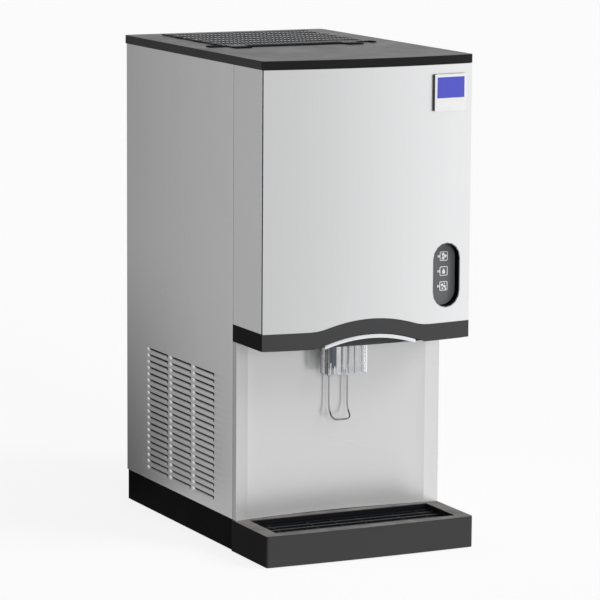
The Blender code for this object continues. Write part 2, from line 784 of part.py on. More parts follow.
def ceiling_plate():
    """Black plate that closes the band's underside over the cup space."""
    clearance = VALANCE_SETBACK + BAND_WALL + GAP
    inner = BAND_X - BAND_WALL - GAP
    front = [(x, bow_y(x, BAND_CORNER, BAND_X, FRONT_BOW) + clearance) for x, _ in bow_path(0, inner, 0)]
    back = SEAM - GAP
    plate = make("ceiling_plate", prism(front + [(inner, back), (-inner, back)], BAND_BOTTOM, CEILING_HIGH),
                 black_plastic())
    cut(plate, prism(chute_outline(-GAP), BAND_BOTTOM - OVERRUN, CEILING_HIGH + OVERRUN))
    slot_front = BRACKET_FRONT + GAP
    cut(plate, block(-HUB_HALF, HUB_HALF, slot_front + BAND_WALL / 2, back - BAND_WALL / 2,
                     BAND_BOTTOM - OVERRUN, CEILING_HIGH + OVERRUN))
    return plate


def lever_bracket():
    low = CEILING_HIGH + GAP
    high = BRIDGE_LOW + BAND_WALL
    outer = block(-EAR_OUTER, EAR_OUTER, BRACKET_FRONT, BRACKET_BACK, low, high)
    bracket = make("lever_bracket", outer, steel())
    cut(bracket, block(-EAR_INNER, EAR_INNER, BRACKET_FRONT - OVERRUN, BRACKET_BACK + OVERRUN, low - OVERRUN,
                       BRIDGE_LOW))
    tab_back = SWITCH_BACK
    fuse(bracket, block(-SWITCH_HALF, SWITCH_HALF, BRACKET_BACK - GAP, tab_back, BRIDGE_LOW, high))
    fuse(bracket, cylinder((PIVOT_Y, PIVOT_Z), PIN_RADIUS, -EAR_OUTER - SHEET, EAR_OUTER + SHEET, "X"))
    return bracket


def lever_hub():
    hub = make("lever_hub", cylinder((PIVOT_Y, PIVOT_Z), HUB_RADIUS, -HUB_HALF, HUB_HALF, "X"), black_plastic())
    fuse(hub, block(-FINGER_WIDTH, FINGER_WIDTH, PIVOT_Y, PIVOT_Y + FINGER_REACH, PIVOT_Z - FINGER_HALF,
                    PIVOT_Z + FINGER_HALF))
    cut(hub, cylinder((PIVOT_Y, PIVOT_Z), PIN_RADIUS + RUNNING, -HUB_HALF - OVERRUN, HUB_HALF + OVERRUN, "X"))
    return smooth(hub)


def wire_lever():
    """U of round wire whose foot is bent forward."""
    high = PIVOT_Z - HUB_RADIUS - GAP
    forward = LEVER_KICK * math.sin(LEVER_SLANT)
    foot = LEVER_LEG_LOW - LEVER_KICK * math.cos(LEVER_SLANT)
    toe = PIVOT_Y - forward
    points = [(-LEG_HALF, PIVOT_Y, high), (-LEG_HALF, PIVOT_Y, LEVER_LEG_LOW), (-LEG_HALF, toe, foot),
              (LEG_HALF, toe, foot), (LEG_HALF, PIVOT_Y, LEVER_LEG_LOW), (LEG_HALF, PIVOT_Y, high)]
    return smooth(make("wire_lever", tube_along(bent(points, LEVER_CORNER, 4), WIRE_RADIUS), steel()))


def micro_switch():
    switch = make("micro_switch", block(-SWITCH_HALF, SWITCH_HALF, SWITCH_FRONT, SWITCH_BACK, SWITCH_LOW,
                                        BRIDGE_LOW - GAP), black_plastic())
    well = SWITCH_LOW + PLUNGER_LENGTH
    bore = PLUNGER_RADIUS + RUNNING
    cut(switch, cylinder((0, PIVOT_Y + PLUNGER_REACH), bore, SWITCH_LOW - OVERRUN, well, "Z", PLUNGER_STEPS))
    return switch


def switch_plunger():
    low = PIVOT_Z + FINGER_HALF + GAP
    pin = cylinder((0, PIVOT_Y + PLUNGER_REACH), PLUNGER_RADIUS, low, low + PLUNGER_LENGTH, "Z", PLUNGER_STEPS)
    return make("switch_plunger", pin, white_plastic())


# Control panel: an oval cup sunk into the front, three keys and the board behind them
FACE_FRONT = FRONT + 0.009
FACE_THICKNESS = 0.002
CUP_WALL = 0.0015
CUP_SETBACK = 0.0002
KEY_X = OVAL_X + 0.0031
KEY_PITCH = 0.0269
KEY_TOP_Z = OVAL_Z + 1.17 * KEY_PITCH
KEY_HALF = 0.0090
KEY_CORNER = 0.003
KEY_DEPTH = 0.005
KEY_TRAVEL = 0.001
KEY_STEM = 0.004
POST_REACH = 0.020
BOARD_THICKNESS = 0.0016
KEY_NAMES = ("key_ice", "key_water", "key_both")
BOARD_FRONT = FACE_FRONT + KEY_DEPTH + KEY_TRAVEL + GAP


def control_panel():
    near = FRONT - FRONT_BOW - OVERRUN
    back = FACE_FRONT + FACE_THICKNESS
    centre = (OVAL_X, OVAL_Z)
    outer = OVAL_RADIUS - GAP
    block_out = prism(stadium(centre, outer, OVAL_STRAIGHT, 8), near, back, "Y")
    cup = make("control_panel", block_out, dark_plastic())
    cut(cup, prism(stadium(centre, outer - CUP_WALL, OVAL_STRAIGHT, 8), near - OVERRUN, FACE_FRONT, "Y"))
    ahead = bow_path(DOOR_CORNER + CUP_SETBACK, PANEL_X, FRONT_BOW)
    ahead += [(PANEL_X, near - OVERRUN), (-PANEL_X, near - OVERRUN)]
    cut(cup, prism(ahead, BAND_TOP - OVERRUN, HEIGHT))
    for i in range(len(KEY_NAMES)):
        cut(cup, prism(key_outline(i, GAP), near, back + OVERRUN, "Y"))
    for side in (-1, 1):
        post = (OVAL_X - POST_REACH, OVAL_Z + side * POST_REACH)
        fuse(cup, cylinder(post, KEY_STEM, back - FACE_THICKNESS / 2, BOARD_FRONT - GAP, "Y", 8))
    return smooth(cup)


def key_outline(index, grow=0.0):
    z = KEY_TOP_Z - KEY_PITCH * index
    half = KEY_HALF + grow
    return round_box(KEY_X - half, KEY_X + half, z - half, z + half, KEY_CORNER + grow, 2)


def selector_key(index):
    front = FACE_FRONT - GAP
    cap_back = FACE_FRONT + FACE_THICKNESS
    key = make(KEY_NAMES[index], prism(key_outline(index), front, cap_back, "Y"), dark_plastic())
    centre = (KEY_X, KEY_TOP_Z - KEY_PITCH * index)
    fuse(key, cylinder(centre, KEY_STEM, cap_back - SHEET, BOARD_FRONT - KEY_TRAVEL - GAP, "Y", 8))
    return smooth(key)


def key_board():
    half_z = OVAL_STRAIGHT / 2 + 2 * KEY_HALF
    board = block(OVAL_X - OVAL_RADIUS, OVAL_X + OVAL_RADIUS, BOARD_FRONT, BOARD_FRONT + BOARD_THICKNESS,
                  OVAL_Z - half_z, OVAL_Z + half_z)
    return make("key_board", board, circuit_board())


# Badge plate, left bare
BADGE_WIDTH = 0.0685
BADGE_RIGHT = PANEL_X - 0.0124
BADGE_LEFT = BADGE_RIGHT - BADGE_WIDTH
BADGE_HIGH = COVER_BOTTOM - 0.018
BADGE_LOW = BADGE_HIGH - 0.0652
BADGE_THICKNESS = 0.005


def badge_plate():
    places = [BADGE_LEFT + BADGE_WIDTH * i / CORNER_STEPS for i in range(CORNER_STEPS + 1)]
    back = [(x, bow_y(x, DOOR_CORNER, PANEL_X, FRONT_BOW) - GAP) for x in places]
    front = [(x, y - BADGE_THICKNESS) for x, y in back]
    plate = make("badge_plate", prism(front + back[::-1], BADGE_LOW, BADGE_HIGH), white_plastic())
    return rounded(plate, SHEET, 1)


# Top cover and its lift-off grille
COVER_BOW = 0.019
COVER_CORNER = FRONT - SHEET
COVER_FRONT_RADIUS = 0.006
COVER_REAR_RADIUS = 0.009
GRILLE_HALF = 0.664 * WIDTH / 2
GRILLE_BACK = BACK - 0.0336
GRILLE_FRONT = GRILLE_BACK - 0.398 * BODY_DEPTH
GRILLE_LIP = 0.004
GRILLE_THICKNESS = 0.0026
GRILLE_DROP = 0.006
GRILLE_COLUMNS = 13
GRILLE_ROWS = 9
GRILLE_RIB = 0.0045
GRILLE_TAB = 0.022
GRILLE_TAB_REACH = 0.012
GRILLE_TAB_X = GRILLE_HALF - 0.039


def cover_outline(inset):
    half = WIDTH / 2 - inset
    front = nosed_front(COVER_CORNER + inset, half, COVER_BOW, COVER_FRONT_RADIUS - inset)
    rear = BACK - inset
    radius = COVER_REAR_RADIUS - inset
    right = around((half - radius, rear - radius), radius, 0.0, 0.5 * math.pi, CORNER_STEPS)
    left = around((radius - half, rear - radius), radius, 0.5 * math.pi, math.pi, CORNER_STEPS)
    return front + right + left


def top_cover():
    cover = make("top_cover", prism(cover_outline(0), COVER_BOTTOM, HEIGHT), dark_plastic())
    cut(cover, prism(cover_outline(COVER_WALL), COVER_BOTTOM - OVERRUN, COVER_CEILING))
    x = GRILLE_HALF - GRILLE_LIP
    cut(cover, block(-x, x, GRILLE_FRONT + GRILLE_LIP, GRILLE_BACK - GRILLE_LIP, COVER_CEILING - OVERRUN,
                     HEIGHT + OVERRUN))
    return smooth(cover)


def top_grille():
    low = HEIGHT + GAP
    high = low + GRILLE_THICKNESS
    across = striped(-GRILLE_HALF, GRILLE_HALF, GRILLE_COLUMNS, GRILLE_RIB)
    along = striped(GRILLE_FRONT, GRILLE_BACK, GRILLE_ROWS, GRILLE_RIB)
    grille = make("top_grille", lattice_plate(across, along, low, high), black_plastic())
    edge = GRILLE_LIP + GAP
    lip = GRILLE_RIB - SHEET / 2
    foot = low - GRILLE_DROP
    frame = make("frame", block(edge - GRILLE_HALF, GRILLE_HALF - edge, GRILLE_FRONT + edge, GRILLE_BACK - edge,
                                foot, (low + high) / 2), black_plastic())
    inner = lip + SHEET
    cut(frame, block(inner - GRILLE_HALF, GRILLE_HALF - inner, GRILLE_FRONT + inner, GRILLE_BACK - inner,
                     foot - OVERRUN, high))
    fuse(grille, absorbed(frame))
    for side in (-1, 1):
        x = side * GRILLE_TAB_X
        fuse(grille, block(x - GRILLE_TAB, x + GRILLE_TAB, GRILLE_FRONT - GRILLE_TAB_REACH, GRILLE_FRONT + SHEET,
                           low, high))
    return grille


# Drip tray and its slatted grille
TRAY_X = WIDTH / 2 - 0.0013
TRAY_FRONT = FRONT - TRAY_REACH
TRAY_BACK = SEAM - GAP
TRAY_WALL = 0.003
TRAY_RADIUS = 0.005
BASIN_HALF = TRAY_X - 0.0271
BASIN_FRONT = FRONT - 0.008
BASIN_BACK = FRONT + 0.1035
BASIN_LOW = 0.012
LEDGE = 0.006
LEDGE_Z = 0.0455
SLAT_ROWS = 8
SLAT_COLUMNS = 5
SLAT_RIB = 0.0050
SLAT_THICKNESS = 0.004
GRILLE_CLEARANCE = 0.0006


def tray_outline(inset):
    half = TRAY_X - inset
    front = nosed_front(TRAY_FRONT + inset, half, TRAY_BOW, TRAY_RADIUS - inset, BOW_STEPS // 2)
    return front + [(half, TRAY_BACK - inset), (-half, TRAY_BACK - inset)]


def drip_tray():
    tray = make("drip_tray", prism(tray_outline(0), SKIRT_LIFT, TRAY_HEIGHT), dark_plastic())
    cut(tray, prism(tray_outline(TRAY_WALL), SKIRT_LIFT - OVERRUN, TRAY_HEIGHT - TRAY_WALL))
    basin_low = BASIN_LOW - TRAY_WALL
    wall = TRAY_WALL
    fuse(tray, block(-BASIN_HALF - wall, BASIN_HALF + wall, BASIN_FRONT - wall, BASIN_BACK + wall, basin_low,
                     TRAY_HEIGHT - wall / 2))
    cut(tray, block(-BASIN_HALF, BASIN_HALF, BASIN_FRONT, BASIN_BACK, LEDGE_Z, TRAY_HEIGHT + OVERRUN))
    inner = BASIN_HALF - LEDGE
    cut(tray, block(-inner, inner, BASIN_FRONT + LEDGE, BASIN_BACK - LEDGE, BASIN_LOW, LEDGE_Z + OVERRUN))
    cut(tray, cylinder((DRAIN_X, DRAIN_Z), DRAIN_RADIUS + GAP, BASIN_BACK - 2 * LEDGE, SEAM + OVERRUN, "Y"))
    return smooth(tray)


def drip_grille():
    half = BASIN_HALF - GRILLE_CLEARANCE
    across = striped(-half, half, SLAT_COLUMNS, SLAT_RIB)
    along = striped(BASIN_FRONT + GRILLE_CLEARANCE, BASIN_BACK - GRILLE_CLEARANCE, SLAT_ROWS, SLAT_RIB)
    low = LEDGE_Z + GAP
    return make("drip_grille", lattice_plate(across, along, low, low + SLAT_THICKNESS), black_plastic())


def drain_pipe():
    """Open pipe from the basin to a threaded collar at the back."""
    start = BASIN_BACK + LEDGE / 2
    collar = PANEL_BACK + GAP
    bore = DRAIN_RADIUS - DRAIN_WALL
    rim = DRAIN_RADIUS + 2 * DRAIN_WALL
    profile = [(bore, start), (DRAIN_RADIUS, start), (DRAIN_RADIUS, collar), (rim, collar), (rim, FITTING_END),
               (bore, FITTING_END)]
    return smooth(make("drain_pipe", turned(profile, (DRAIN_X, DRAIN_Z), "Y", SMALL_STEPS), white_plastic()))


# Chassis shelf and the ice bin on it
BIN_HALF = PANEL_X - 0.0274
BIN_FRONT = FRONT + 0.024
BIN_BACK = FRONT + 0.5413 * DEPTH
BIN_WALL = 0.008
BIN_LOW = SHELF_TOP + GAP
BIN_FLOOR = BIN_LOW + 0.010
BIN_HIGH = COVER_BOTTOM - 0.0215
WHEEL_Y = (BIN_FRONT + BIN_BACK) / 2 - SHEET
SHAFT_RADIUS = 0.005
LID_THICKNESS = 0.012
EVAPORATOR_X = PANEL_X - 0.0854
EVAPORATOR_Y = FRONT + 0.7218 * DEPTH
HEAD_RADIUS = 0.056
TUBE_RADIUS = 0.019
TUBE_PORT_Z = BIN_HIGH - 0.052
WHEEL_RADIUS = 0.106
WHEEL_HEIGHT = 0.026
WHEEL_HUB = 0.018
PADDLES = 6
PADDLE_THICKNESS = 0.005
ROD_RADIUS = 0.004
ROD_TOP = BIN_HIGH - 0.132
ARM_REACH = 0.095
RISER_Y = PANEL_BACK - 0.030
RISER_PASSAGE = 0.007
MOTOR_RADIUS = 0.038
MOTOR_HEIGHT = 0.085


def chassis_shelf():
    half = PANEL_X - SHEET - GAP
    rear = block(-half, half, SEAM + 2 * FLANGE, PANEL_BACK - FLANGE, SHELF_BOTTOM, SHELF_TOP)
    shelf = make("chassis_shelf", rear, steel())
    fuse(shelf, block(-half, half, FRONT + 2 * RETURN_DEPTH, SEAM - 2 * GAP - SHEET, SHELF_BOTTOM, SHELF_TOP))
    narrow = PANEL_X - FLANGE - GAP
    fuse(shelf, block(-narrow, narrow, SEAM - FLANGE, SEAM + 3 * FLANGE, SHELF_BOTTOM, SHELF_TOP))
    cut(shelf, prism(chute_outline(CHUTE_WALL), SHELF_BOTTOM - OVERRUN, SHELF_TOP + OVERRUN))
    passages = (((0, WHEEL_Y), SHAFT_RADIUS + 3 * GAP), ((EVAPORATOR_X, EVAPORATOR_Y), HEAD_RADIUS),
                ((INLET_X, RISER_Y), RISER_PASSAGE))
    for spot, radius in passages:
        cut(shelf, cylinder(spot, radius, SHELF_BOTTOM - OVERRUN, SHELF_TOP + OVERRUN, "Z", ROUND_STEPS))
    return shelf


def ice_bin():
    outer = block(-BIN_HALF, BIN_HALF, BIN_FRONT, BIN_BACK, BIN_LOW, BIN_HIGH)
    bin_body = make("ice_bin", outer, white_plastic())
    inner = BIN_HALF - BIN_WALL
    cut(bin_body, block(-inner, inner, BIN_FRONT + BIN_WALL, BIN_BACK - BIN_WALL, BIN_FLOOR, BIN_HIGH + OVERRUN))
    cut(bin_body, prism(chute_outline(CHUTE_WALL), BIN_LOW - OVERRUN, BIN_FLOOR + OVERRUN))
    cut(bin_body, cylinder((0, WHEEL_Y), SHAFT_RADIUS + 2 * GAP, BIN_LOW - OVERRUN, BIN_FLOOR + OVERRUN / 2))
    port = (EVAPORATOR_X, TUBE_PORT_Z)
    cut(bin_body, cylinder(port, TUBE_RADIUS, BIN_BACK - 2 * BIN_WALL, BIN_BACK + OVERRUN, "Y"))
    return bin_body


def bin_lid():
    low = BIN_HIGH + GAP
    flat = block(-BIN_HALF, BIN_HALF, BIN_FRONT, BIN_BACK, low, low + LID_THICKNESS)
    lid = make("bin_lid", flat, white_plastic())
    inner = BIN_HALF - BIN_WALL - 2 * GAP
    fuse(lid, block(-inner, inner, BIN_FRONT + BIN_WALL + 2 * GAP, BIN_BACK - BIN_WALL - 2 * GAP,
                    BIN_HIGH - LID_THICKNESS / 2, low + LID_THICKNESS / 2))
    return lid


def dispense_wheel():
    low = BIN_FLOOR + 2 * GAP
    wheel = make("dispense_wheel", cylinder((0, WHEEL_Y), WHEEL_HUB, low, low + WHEEL_HEIGHT), white_plastic())
    for i in range(PADDLES // 2):
        turn = Matrix.Rotation(math.pi * 2 * i / PADDLES, 3, "Z")
        half = PADDLE_THICKNESS / 2
        corners = [turn @ Vector((x, y, 0)) for x, y in ((-WHEEL_RADIUS, -half), (WHEEL_RADIUS, -half),
                                                        (WHEEL_RADIUS, half), (-WHEEL_RADIUS, half))]
        fuse(wheel, prism([(c.x, WHEEL_Y + c.y) for c in corners], low, low + WHEEL_HEIGHT * 0.9))
    fuse(wheel, cylinder((0, WHEEL_Y), ROD_RADIUS, low + WHEEL_HEIGHT / 2, ROD_TOP, "Z", 8))
    for share in (0.4, 0.9):
        z = low + (ROD_TOP - low) * share
        fuse(wheel, cylinder((WHEEL_Y, z), ROD_RADIUS * 0.9, -ARM_REACH, ARM_REACH, "X", 8))
    foot = SHELF_BOTTOM - 2.5 * SHAFT_RADIUS
    fuse(wheel, cylinder((0, WHEEL_Y), SHAFT_RADIUS, foot, low + SHAFT_RADIUS, "Z", ROUND_STEPS))
    return wheel


def dispense_motor():
    high = SHELF_BOTTOM - GAP
    low = high - MOTOR_HEIGHT
    profile = [(0, low), (0.7 * MOTOR_RADIUS, low), (0.7 * MOTOR_RADIUS, high - 0.4 * MOTOR_HEIGHT),
               (MOTOR_RADIUS, high - 0.4 * MOTOR_HEIGHT), (MOTOR_RADIUS, high), (SHAFT_RADIUS + RUNNING, high),
               (SHAFT_RADIUS + RUNNING, high - 3 * SHAFT_RADIUS), (0, high - 3 * SHAFT_RADIUS)]
    return smooth(make("dispense_motor", turned(profile, (0, WHEEL_Y)), steel()))


# Ice maker: gearmotor, barrel, auger, head and the tube to the bin
GEARBOX_HALF = 0.055
GEARBOX_HIGH = 0.125
BARREL_RADIUS = 0.050
BARREL_BORE = 0.032
BARREL_HIGH = SHELF_BOTTOM - 0.014
AUGER_RADIUS = 0.031
AUGER_CORE = 0.016
AUGER_STEPS = 30
AUGER_TURN = math.radians(24)
AUGER_SIDES = 8
AUGER_SHAFT = 0.006
SPIGOT = 0.012
HEAD_HIGH = SHELF_BOTTOM + 0.046
HOSE_RADIUS = 0.021
HOSE_BORE = 0.0175


def auger_gearmotor():
    low = FLOOR_TOP + GAP
    x, y = EVAPORATOR_X, EVAPORATOR_Y
    half = GEARBOX_HALF
    casing = prism(round_box(x - half, x + half, y - half, y + half, 2 * SPIGOT, 3), low, GEARBOX_HIGH)
    gearbox = make("auger_gearmotor", casing, finish((0.35, 0.36, 0.37), 0.5, 1.0, "cast metal"))
    motor_z = low + 0.75 * half
    fuse(gearbox, cylinder((y, motor_z), 0.62 * half, x - 2.3 * half, x, "X", ROUND_STEPS))
    bore = AUGER_SHAFT + RUNNING
    cut(gearbox, cylinder((x, y), bore, GEARBOX_HIGH - SPIGOT, GEARBOX_HIGH + OVERRUN, "Z", ROUND_STEPS))
    return smooth(gearbox)


def evaporator_barrel():
    low = GEARBOX_HIGH + GAP
    high = BARREL_HIGH
    profile = [(BARREL_BORE, low), (BARREL_RADIUS, low), (BARREL_RADIUS, high), (BARREL_BORE, high)]
    return smooth(make("evaporator_barrel", turned(profile, (EVAPORATOR_X, EVAPORATOR_Y)), white_plastic()))


def auger():
    """Two flights wound round a core: each ring of points is the one below, turned."""
    low = GEARBOX_HIGH + 2 * GAP
    high = BARREL_HIGH - SPIGOT / 2
    data = bmesh.new()
    rings = []
    for i in range(AUGER_STEPS + 1):
        z = low + (high - low) * i / AUGER_STEPS
        ring = []
        for k in range(AUGER_SIDES):
            angle = 2 * math.pi * k / AUGER_SIDES + AUGER_TURN * i
            radius = AUGER_RADIUS if k % (AUGER_SIDES // 2) == 0 else AUGER_CORE
            spot = (EVAPORATOR_X + radius * math.cos(angle), EVAPORATOR_Y + radius * math.sin(angle), z)
            ring.append(data.verts.new(spot))
        rings.append(ring)
    for below, above in zip(rings, rings[1:]):
        for k in range(AUGER_SIDES):
            j = (k + 1) % AUGER_SIDES
            data.faces.new((below[k], below[j], above[j]))
            data.faces.new((below[k], above[j], above[k]))
    data.faces.new(rings[0])
    data.faces.new(rings[-1])
    bmesh.ops.recalc_face_normals(data, faces=data.faces)
    screw = make("auger", data, steel())
    spot = (EVAPORATOR_X, EVAPORATOR_Y)
    return fuse(screw, cylinder(spot, AUGER_SHAFT, GEARBOX_HIGH - SPIGOT + GAP, low + SPIGOT, "Z", ROUND_STEPS))


def extruder_head():
    low = BARREL_HIGH + GAP
    profile = [(HOSE_BORE, low), (BARREL_RADIUS, low), (BARREL_RADIUS, low + SPIGOT),
               (BARREL_RADIUS - SPIGOT / 2, low + SPIGOT), (HOSE_RADIUS + SHEET, HEAD_HIGH - SPIGOT),
               (HOSE_RADIUS + SHEET, HEAD_HIGH), (HOSE_BORE, HEAD_HIGH)]
    return smooth(make("extruder_head", turned(profile, (EVAPORATOR_X, EVAPORATOR_Y)), steel()))


def ice_transfer_tube():
    points = [(EVAPORATOR_X, EVAPORATOR_Y, HEAD_HIGH + GAP), (EVAPORATOR_X, EVAPORATOR_Y, TUBE_PORT_Z),
              (EVAPORATOR_X, BIN_BACK + GAP, TUBE_PORT_Z)]
    route = bent(points, 3 * HOSE_RADIUS, 6)
    tube = make("ice_transfer_tube", tube_along(route, HOSE_RADIUS, SMALL_STEPS), white_plastic())
    start = Vector(route[0]) - Vector((0, 0, SPIGOT))
    end = Vector(route[-1]) - Vector((0, SPIGOT, 0))
    return smooth(cut(tube, tube_along([start] + route[1:-1] + [end], HOSE_BORE, SMALL_STEPS)))


# Water reservoir with its float valve
RESERVOIR_LEFT = 0.0134 - PANEL_X
RESERVOIR_RIGHT = RESERVOIR_LEFT + 0.118
RESERVOIR_FRONT = BIN_BACK + 0.020
RESERVOIR_BACK = FRONT + 0.771 * DEPTH
RESERVOIR_WALL = 0.003
RESERVOIR_HIGH = SHELF_TOP + 0.100
FLOAT_HINGE_Y = RESERVOIR_BACK - 0.022
FLOAT_HINGE_Z = RESERVOIR_HIGH - 0.025
FLOAT_X = (RESERVOIR_LEFT + RESERVOIR_RIGHT) / 2
FLOAT_RADIUS = 0.016
FLOAT_REACH = 0.5417 * (RESERVOIR_BACK - RESERVOIR_FRONT)
FLOAT_ARM_RADIUS = 0.0016
FLOAT_PIN = 0.0015
FLOAT_REST = math.radians(-20)


def water_reservoir():
    low = SHELF_TOP + GAP
    wall = RESERVOIR_WALL
    tub = make("water_reservoir", block(RESERVOIR_LEFT, RESERVOIR_RIGHT, RESERVOIR_FRONT, RESERVOIR_BACK, low,
                                        RESERVOIR_HIGH), white_plastic())
    return cut(tub, block(RESERVOIR_LEFT + wall, RESERVOIR_RIGHT - wall, RESERVOIR_FRONT + wall,
                          RESERVOIR_BACK - wall, low + wall, RESERVOIR_HIGH + OVERRUN))


def float_valve():
    """Valve body on the tub's back wall, with two ears that carry the arm's pin."""
    inner = RESERVOIR_BACK - RESERVOIR_WALL - GAP
    half = 0.007
    stem = block(FLOAT_X - half, FLOAT_X + half, inner - 1.2 * half, inner, FLOAT_HINGE_Z - half,
                 RESERVOIR_HIGH + 2 * half)
    body = make("float_valve", stem, brass())
    fuse(body, block(FLOAT_X - half, FLOAT_X + half, inner - half, RESERVOIR_BACK + half, RESERVOIR_HIGH + GAP,
                     RESERVOIR_HIGH + 2 * half))
    for side in (-1, 1):
        near = FLOAT_X + side * half
        far = FLOAT_X + side * half * 0.55
        fuse(body, block(min(near, far), max(near, far), FLOAT_HINGE_Y - half / 2, inner - half / 2,
                         FLOAT_HINGE_Z - half / 2, FLOAT_HINGE_Z + half / 2))
    reach = half * 0.8
    fuse(body, cylinder((FLOAT_HINGE_Y, FLOAT_HINGE_Z), FLOAT_PIN, FLOAT_X - reach, FLOAT_X + reach, "X"))
    return body


def float_arm():
    """Arm with a ball float; it lies low when the tub is empty."""
    eye = 2 * FLOAT_PIN + GAP
    half = 0.003
    arm = make("float_arm", cylinder((FLOAT_HINGE_Y, FLOAT_HINGE_Z), eye, FLOAT_X - half, FLOAT_X + half, "X"),
               white_plastic())
    tip_y = FLOAT_HINGE_Y - FLOAT_REACH * math.cos(FLOAT_REST)
    tip = (FLOAT_X, tip_y, FLOAT_HINGE_Z + FLOAT_REACH * math.sin(FLOAT_REST))
    root = (FLOAT_X, FLOAT_HINGE_Y - eye * 0.8, FLOAT_HINGE_Z)
    fuse(arm, tube_along([root, tip], FLOAT_ARM_RADIUS, 6))
    steps = 6
    angles = [math.pi * i / steps for i in range(1, steps)]
    profile = [(FLOAT_RADIUS * math.sin(a), tip[2] - FLOAT_RADIUS * math.cos(a)) for a in angles]
    profile = [(0, tip[2] - FLOAT_RADIUS)] + profile + [(0, tip[2] + FLOAT_RADIUS)]
    fuse(arm, turned(profile, (tip[0], tip[1]), "Z", 10))
    cut(arm, cylinder((FLOAT_HINGE_Y, FLOAT_HINGE_Z), FLOAT_PIN + RUNNING, FLOAT_X - half - OVERRUN,
                      FLOAT_X + half + OVERRUN, "X"))
    return arm


# Refrigeration: compressor, condenser, fan, drier and pipes
COMPRESSOR_X = PANEL_X - 0.1034
COMPRESSOR_Y = FRONT + 0.236
COMPRESSOR_RADIUS = 0.074
COMPRESSOR_HEIGHT = 0.190
COMPRESSOR_FOOT = 0.082
COMPRESSOR_LOW = FLOOR_TOP + 2 * GAP + 0.016
COMPRESSOR_TOP = COMPRESSOR_LOW + COMPRESSOR_HEIGHT
FOOT_SHEET = 0.003
GROMMET_RADIUS = 0.011
GROMMET_HEIGHT = 0.016
COIL_LEFT = FLANGE + GAP - PANEL_X
COIL_THICKNESS = 0.040
COIL_FRONT = LOUVRE_FRONT
COIL_BACK = LOUVRE_FRONT + 2 * LOUVRE_COLUMN_PITCH + LOUVRE_LENGTH
COIL_HIGH = LOUVRE_LOW + LOUVRE_ROWS * LOUVRE_PITCH
BENDS = 6
BEND_RADIUS = 0.0045
SHROUD_LEFT = COIL_LEFT + COIL_THICKNESS + GAP
SHROUD_SHEET = 0.002
RING_DEPTH = 0.040
FAN_RADIUS = 0.098
FAN_CLEARANCE = 0.005
FAN_BLADES = 5
FAN_Y = (COIL_FRONT + COIL_BACK) / 2
FAN_Z = (FLOOR_TOP + COIL_HIGH) / 2
FAN_HUB = 0.026
FAN_X = SHROUD_LEFT + RING_DEPTH / 2
FAN_DEPTH = 0.022
FAN_SHAFT = 0.004
FAN_SHAFT_DEPTH = 0.020
FAN_MOTOR_RADIUS = 0.036
FAN_MOTOR_LENGTH = 0.055
ARM_WIDTH = 0.008
ARM_SHEET = 0.003
BLADE_ROOT = 0.026
BLADE_TIP = 0.050
BLADE_SHEET = 0.0016
BLADE_PITCH = math.radians(22)


def compressor():
    low = COMPRESSOR_LOW
    x, y = COMPRESSOR_X, COMPRESSOR_Y
    foot = COMPRESSOR_FOOT
    outline = round_box(x - foot, x + foot, y - foot, y + foot, GROMMET_RADIUS, 2)
    body = make("compressor", prism(outline, low, low + FOOT_SHEET), black_plastic())
    radius = COMPRESSOR_RADIUS
    top = COMPRESSOR_TOP
    dome = radius * 0.45
    curve = [(radius * math.cos(a), top - dome + dome * math.sin(a)) for a in (0, 0.4, 0.8, 1.2)]
    profile = [(0, low + SHEET), (radius, low + SHEET)] + curve + [(0, top)]
    return smooth(fuse(body, turned(profile, (x, y))))


def compressor_mount():
    """Rubber mat whose four buffers carry the compressor's foot."""
    reach = COMPRESSOR_FOOT - GROMMET_RADIUS
    low = FLOOR_TOP + GAP
    x, y = COMPRESSOR_X, COMPRESSOR_Y
    side = COMPRESSOR_FOOT
    flat = block(x - side, x + side, y - side, y + side, low, low + FOOT_SHEET)
    mat = make("compressor_mount", flat, rubber())
    for a in (-1, 1):
        for b in (-1, 1):
            fuse(mat, cylinder((x + a * reach, y + b * reach), GROMMET_RADIUS, low, low + GROMMET_HEIGHT))
    return mat


def condenser_coil():
    low = FLOOR_TOP + GAP
    right = COIL_LEFT + COIL_THICKNESS
    coil = make("condenser_coil", block(COIL_LEFT, right, COIL_FRONT, COIL_BACK, low, COIL_HIGH),
                finish((0.66, 0.66, 0.67), 0.45, 1.0, "fin metal"))
    rise = (COIL_HIGH - low) / BENDS
    middle = (COIL_LEFT + right) / 2
    for i in range(BENDS):
        z = low + rise * (i + 0.5)
        reach = rise * 0.22
        path = [(middle, COIL_BACK - SHEET, z - reach), (middle, COIL_BACK + reach, z - reach),
                (middle, COIL_BACK + reach, z + reach), (middle, COIL_BACK - SHEET, z + reach)]
        fuse(coil, tube_along(bent(path, reach * 0.8, 2), BEND_RADIUS, 6))
    return coil


def fan_shroud():
    left = SHROUD_LEFT
    low = FLOOR_TOP + GAP
    flat = block(left, left + SHROUD_SHEET, COIL_FRONT, COIL_BACK, low, COIL_HIGH)
    shroud = make("fan_shroud", flat, steel())
    outer = FAN_RADIUS + FAN_CLEARANCE + ARM_SHEET
    steps = 24
    fuse(shroud, cylinder((FAN_Y, FAN_Z), outer, left, left + RING_DEPTH, "X", steps))
    bore = FAN_RADIUS + FAN_CLEARANCE
    cut(shroud, cylinder((FAN_Y, FAN_Z), bore, left - OVERRUN, left + RING_DEPTH + OVERRUN, "X", steps))
    return smooth(shroud)


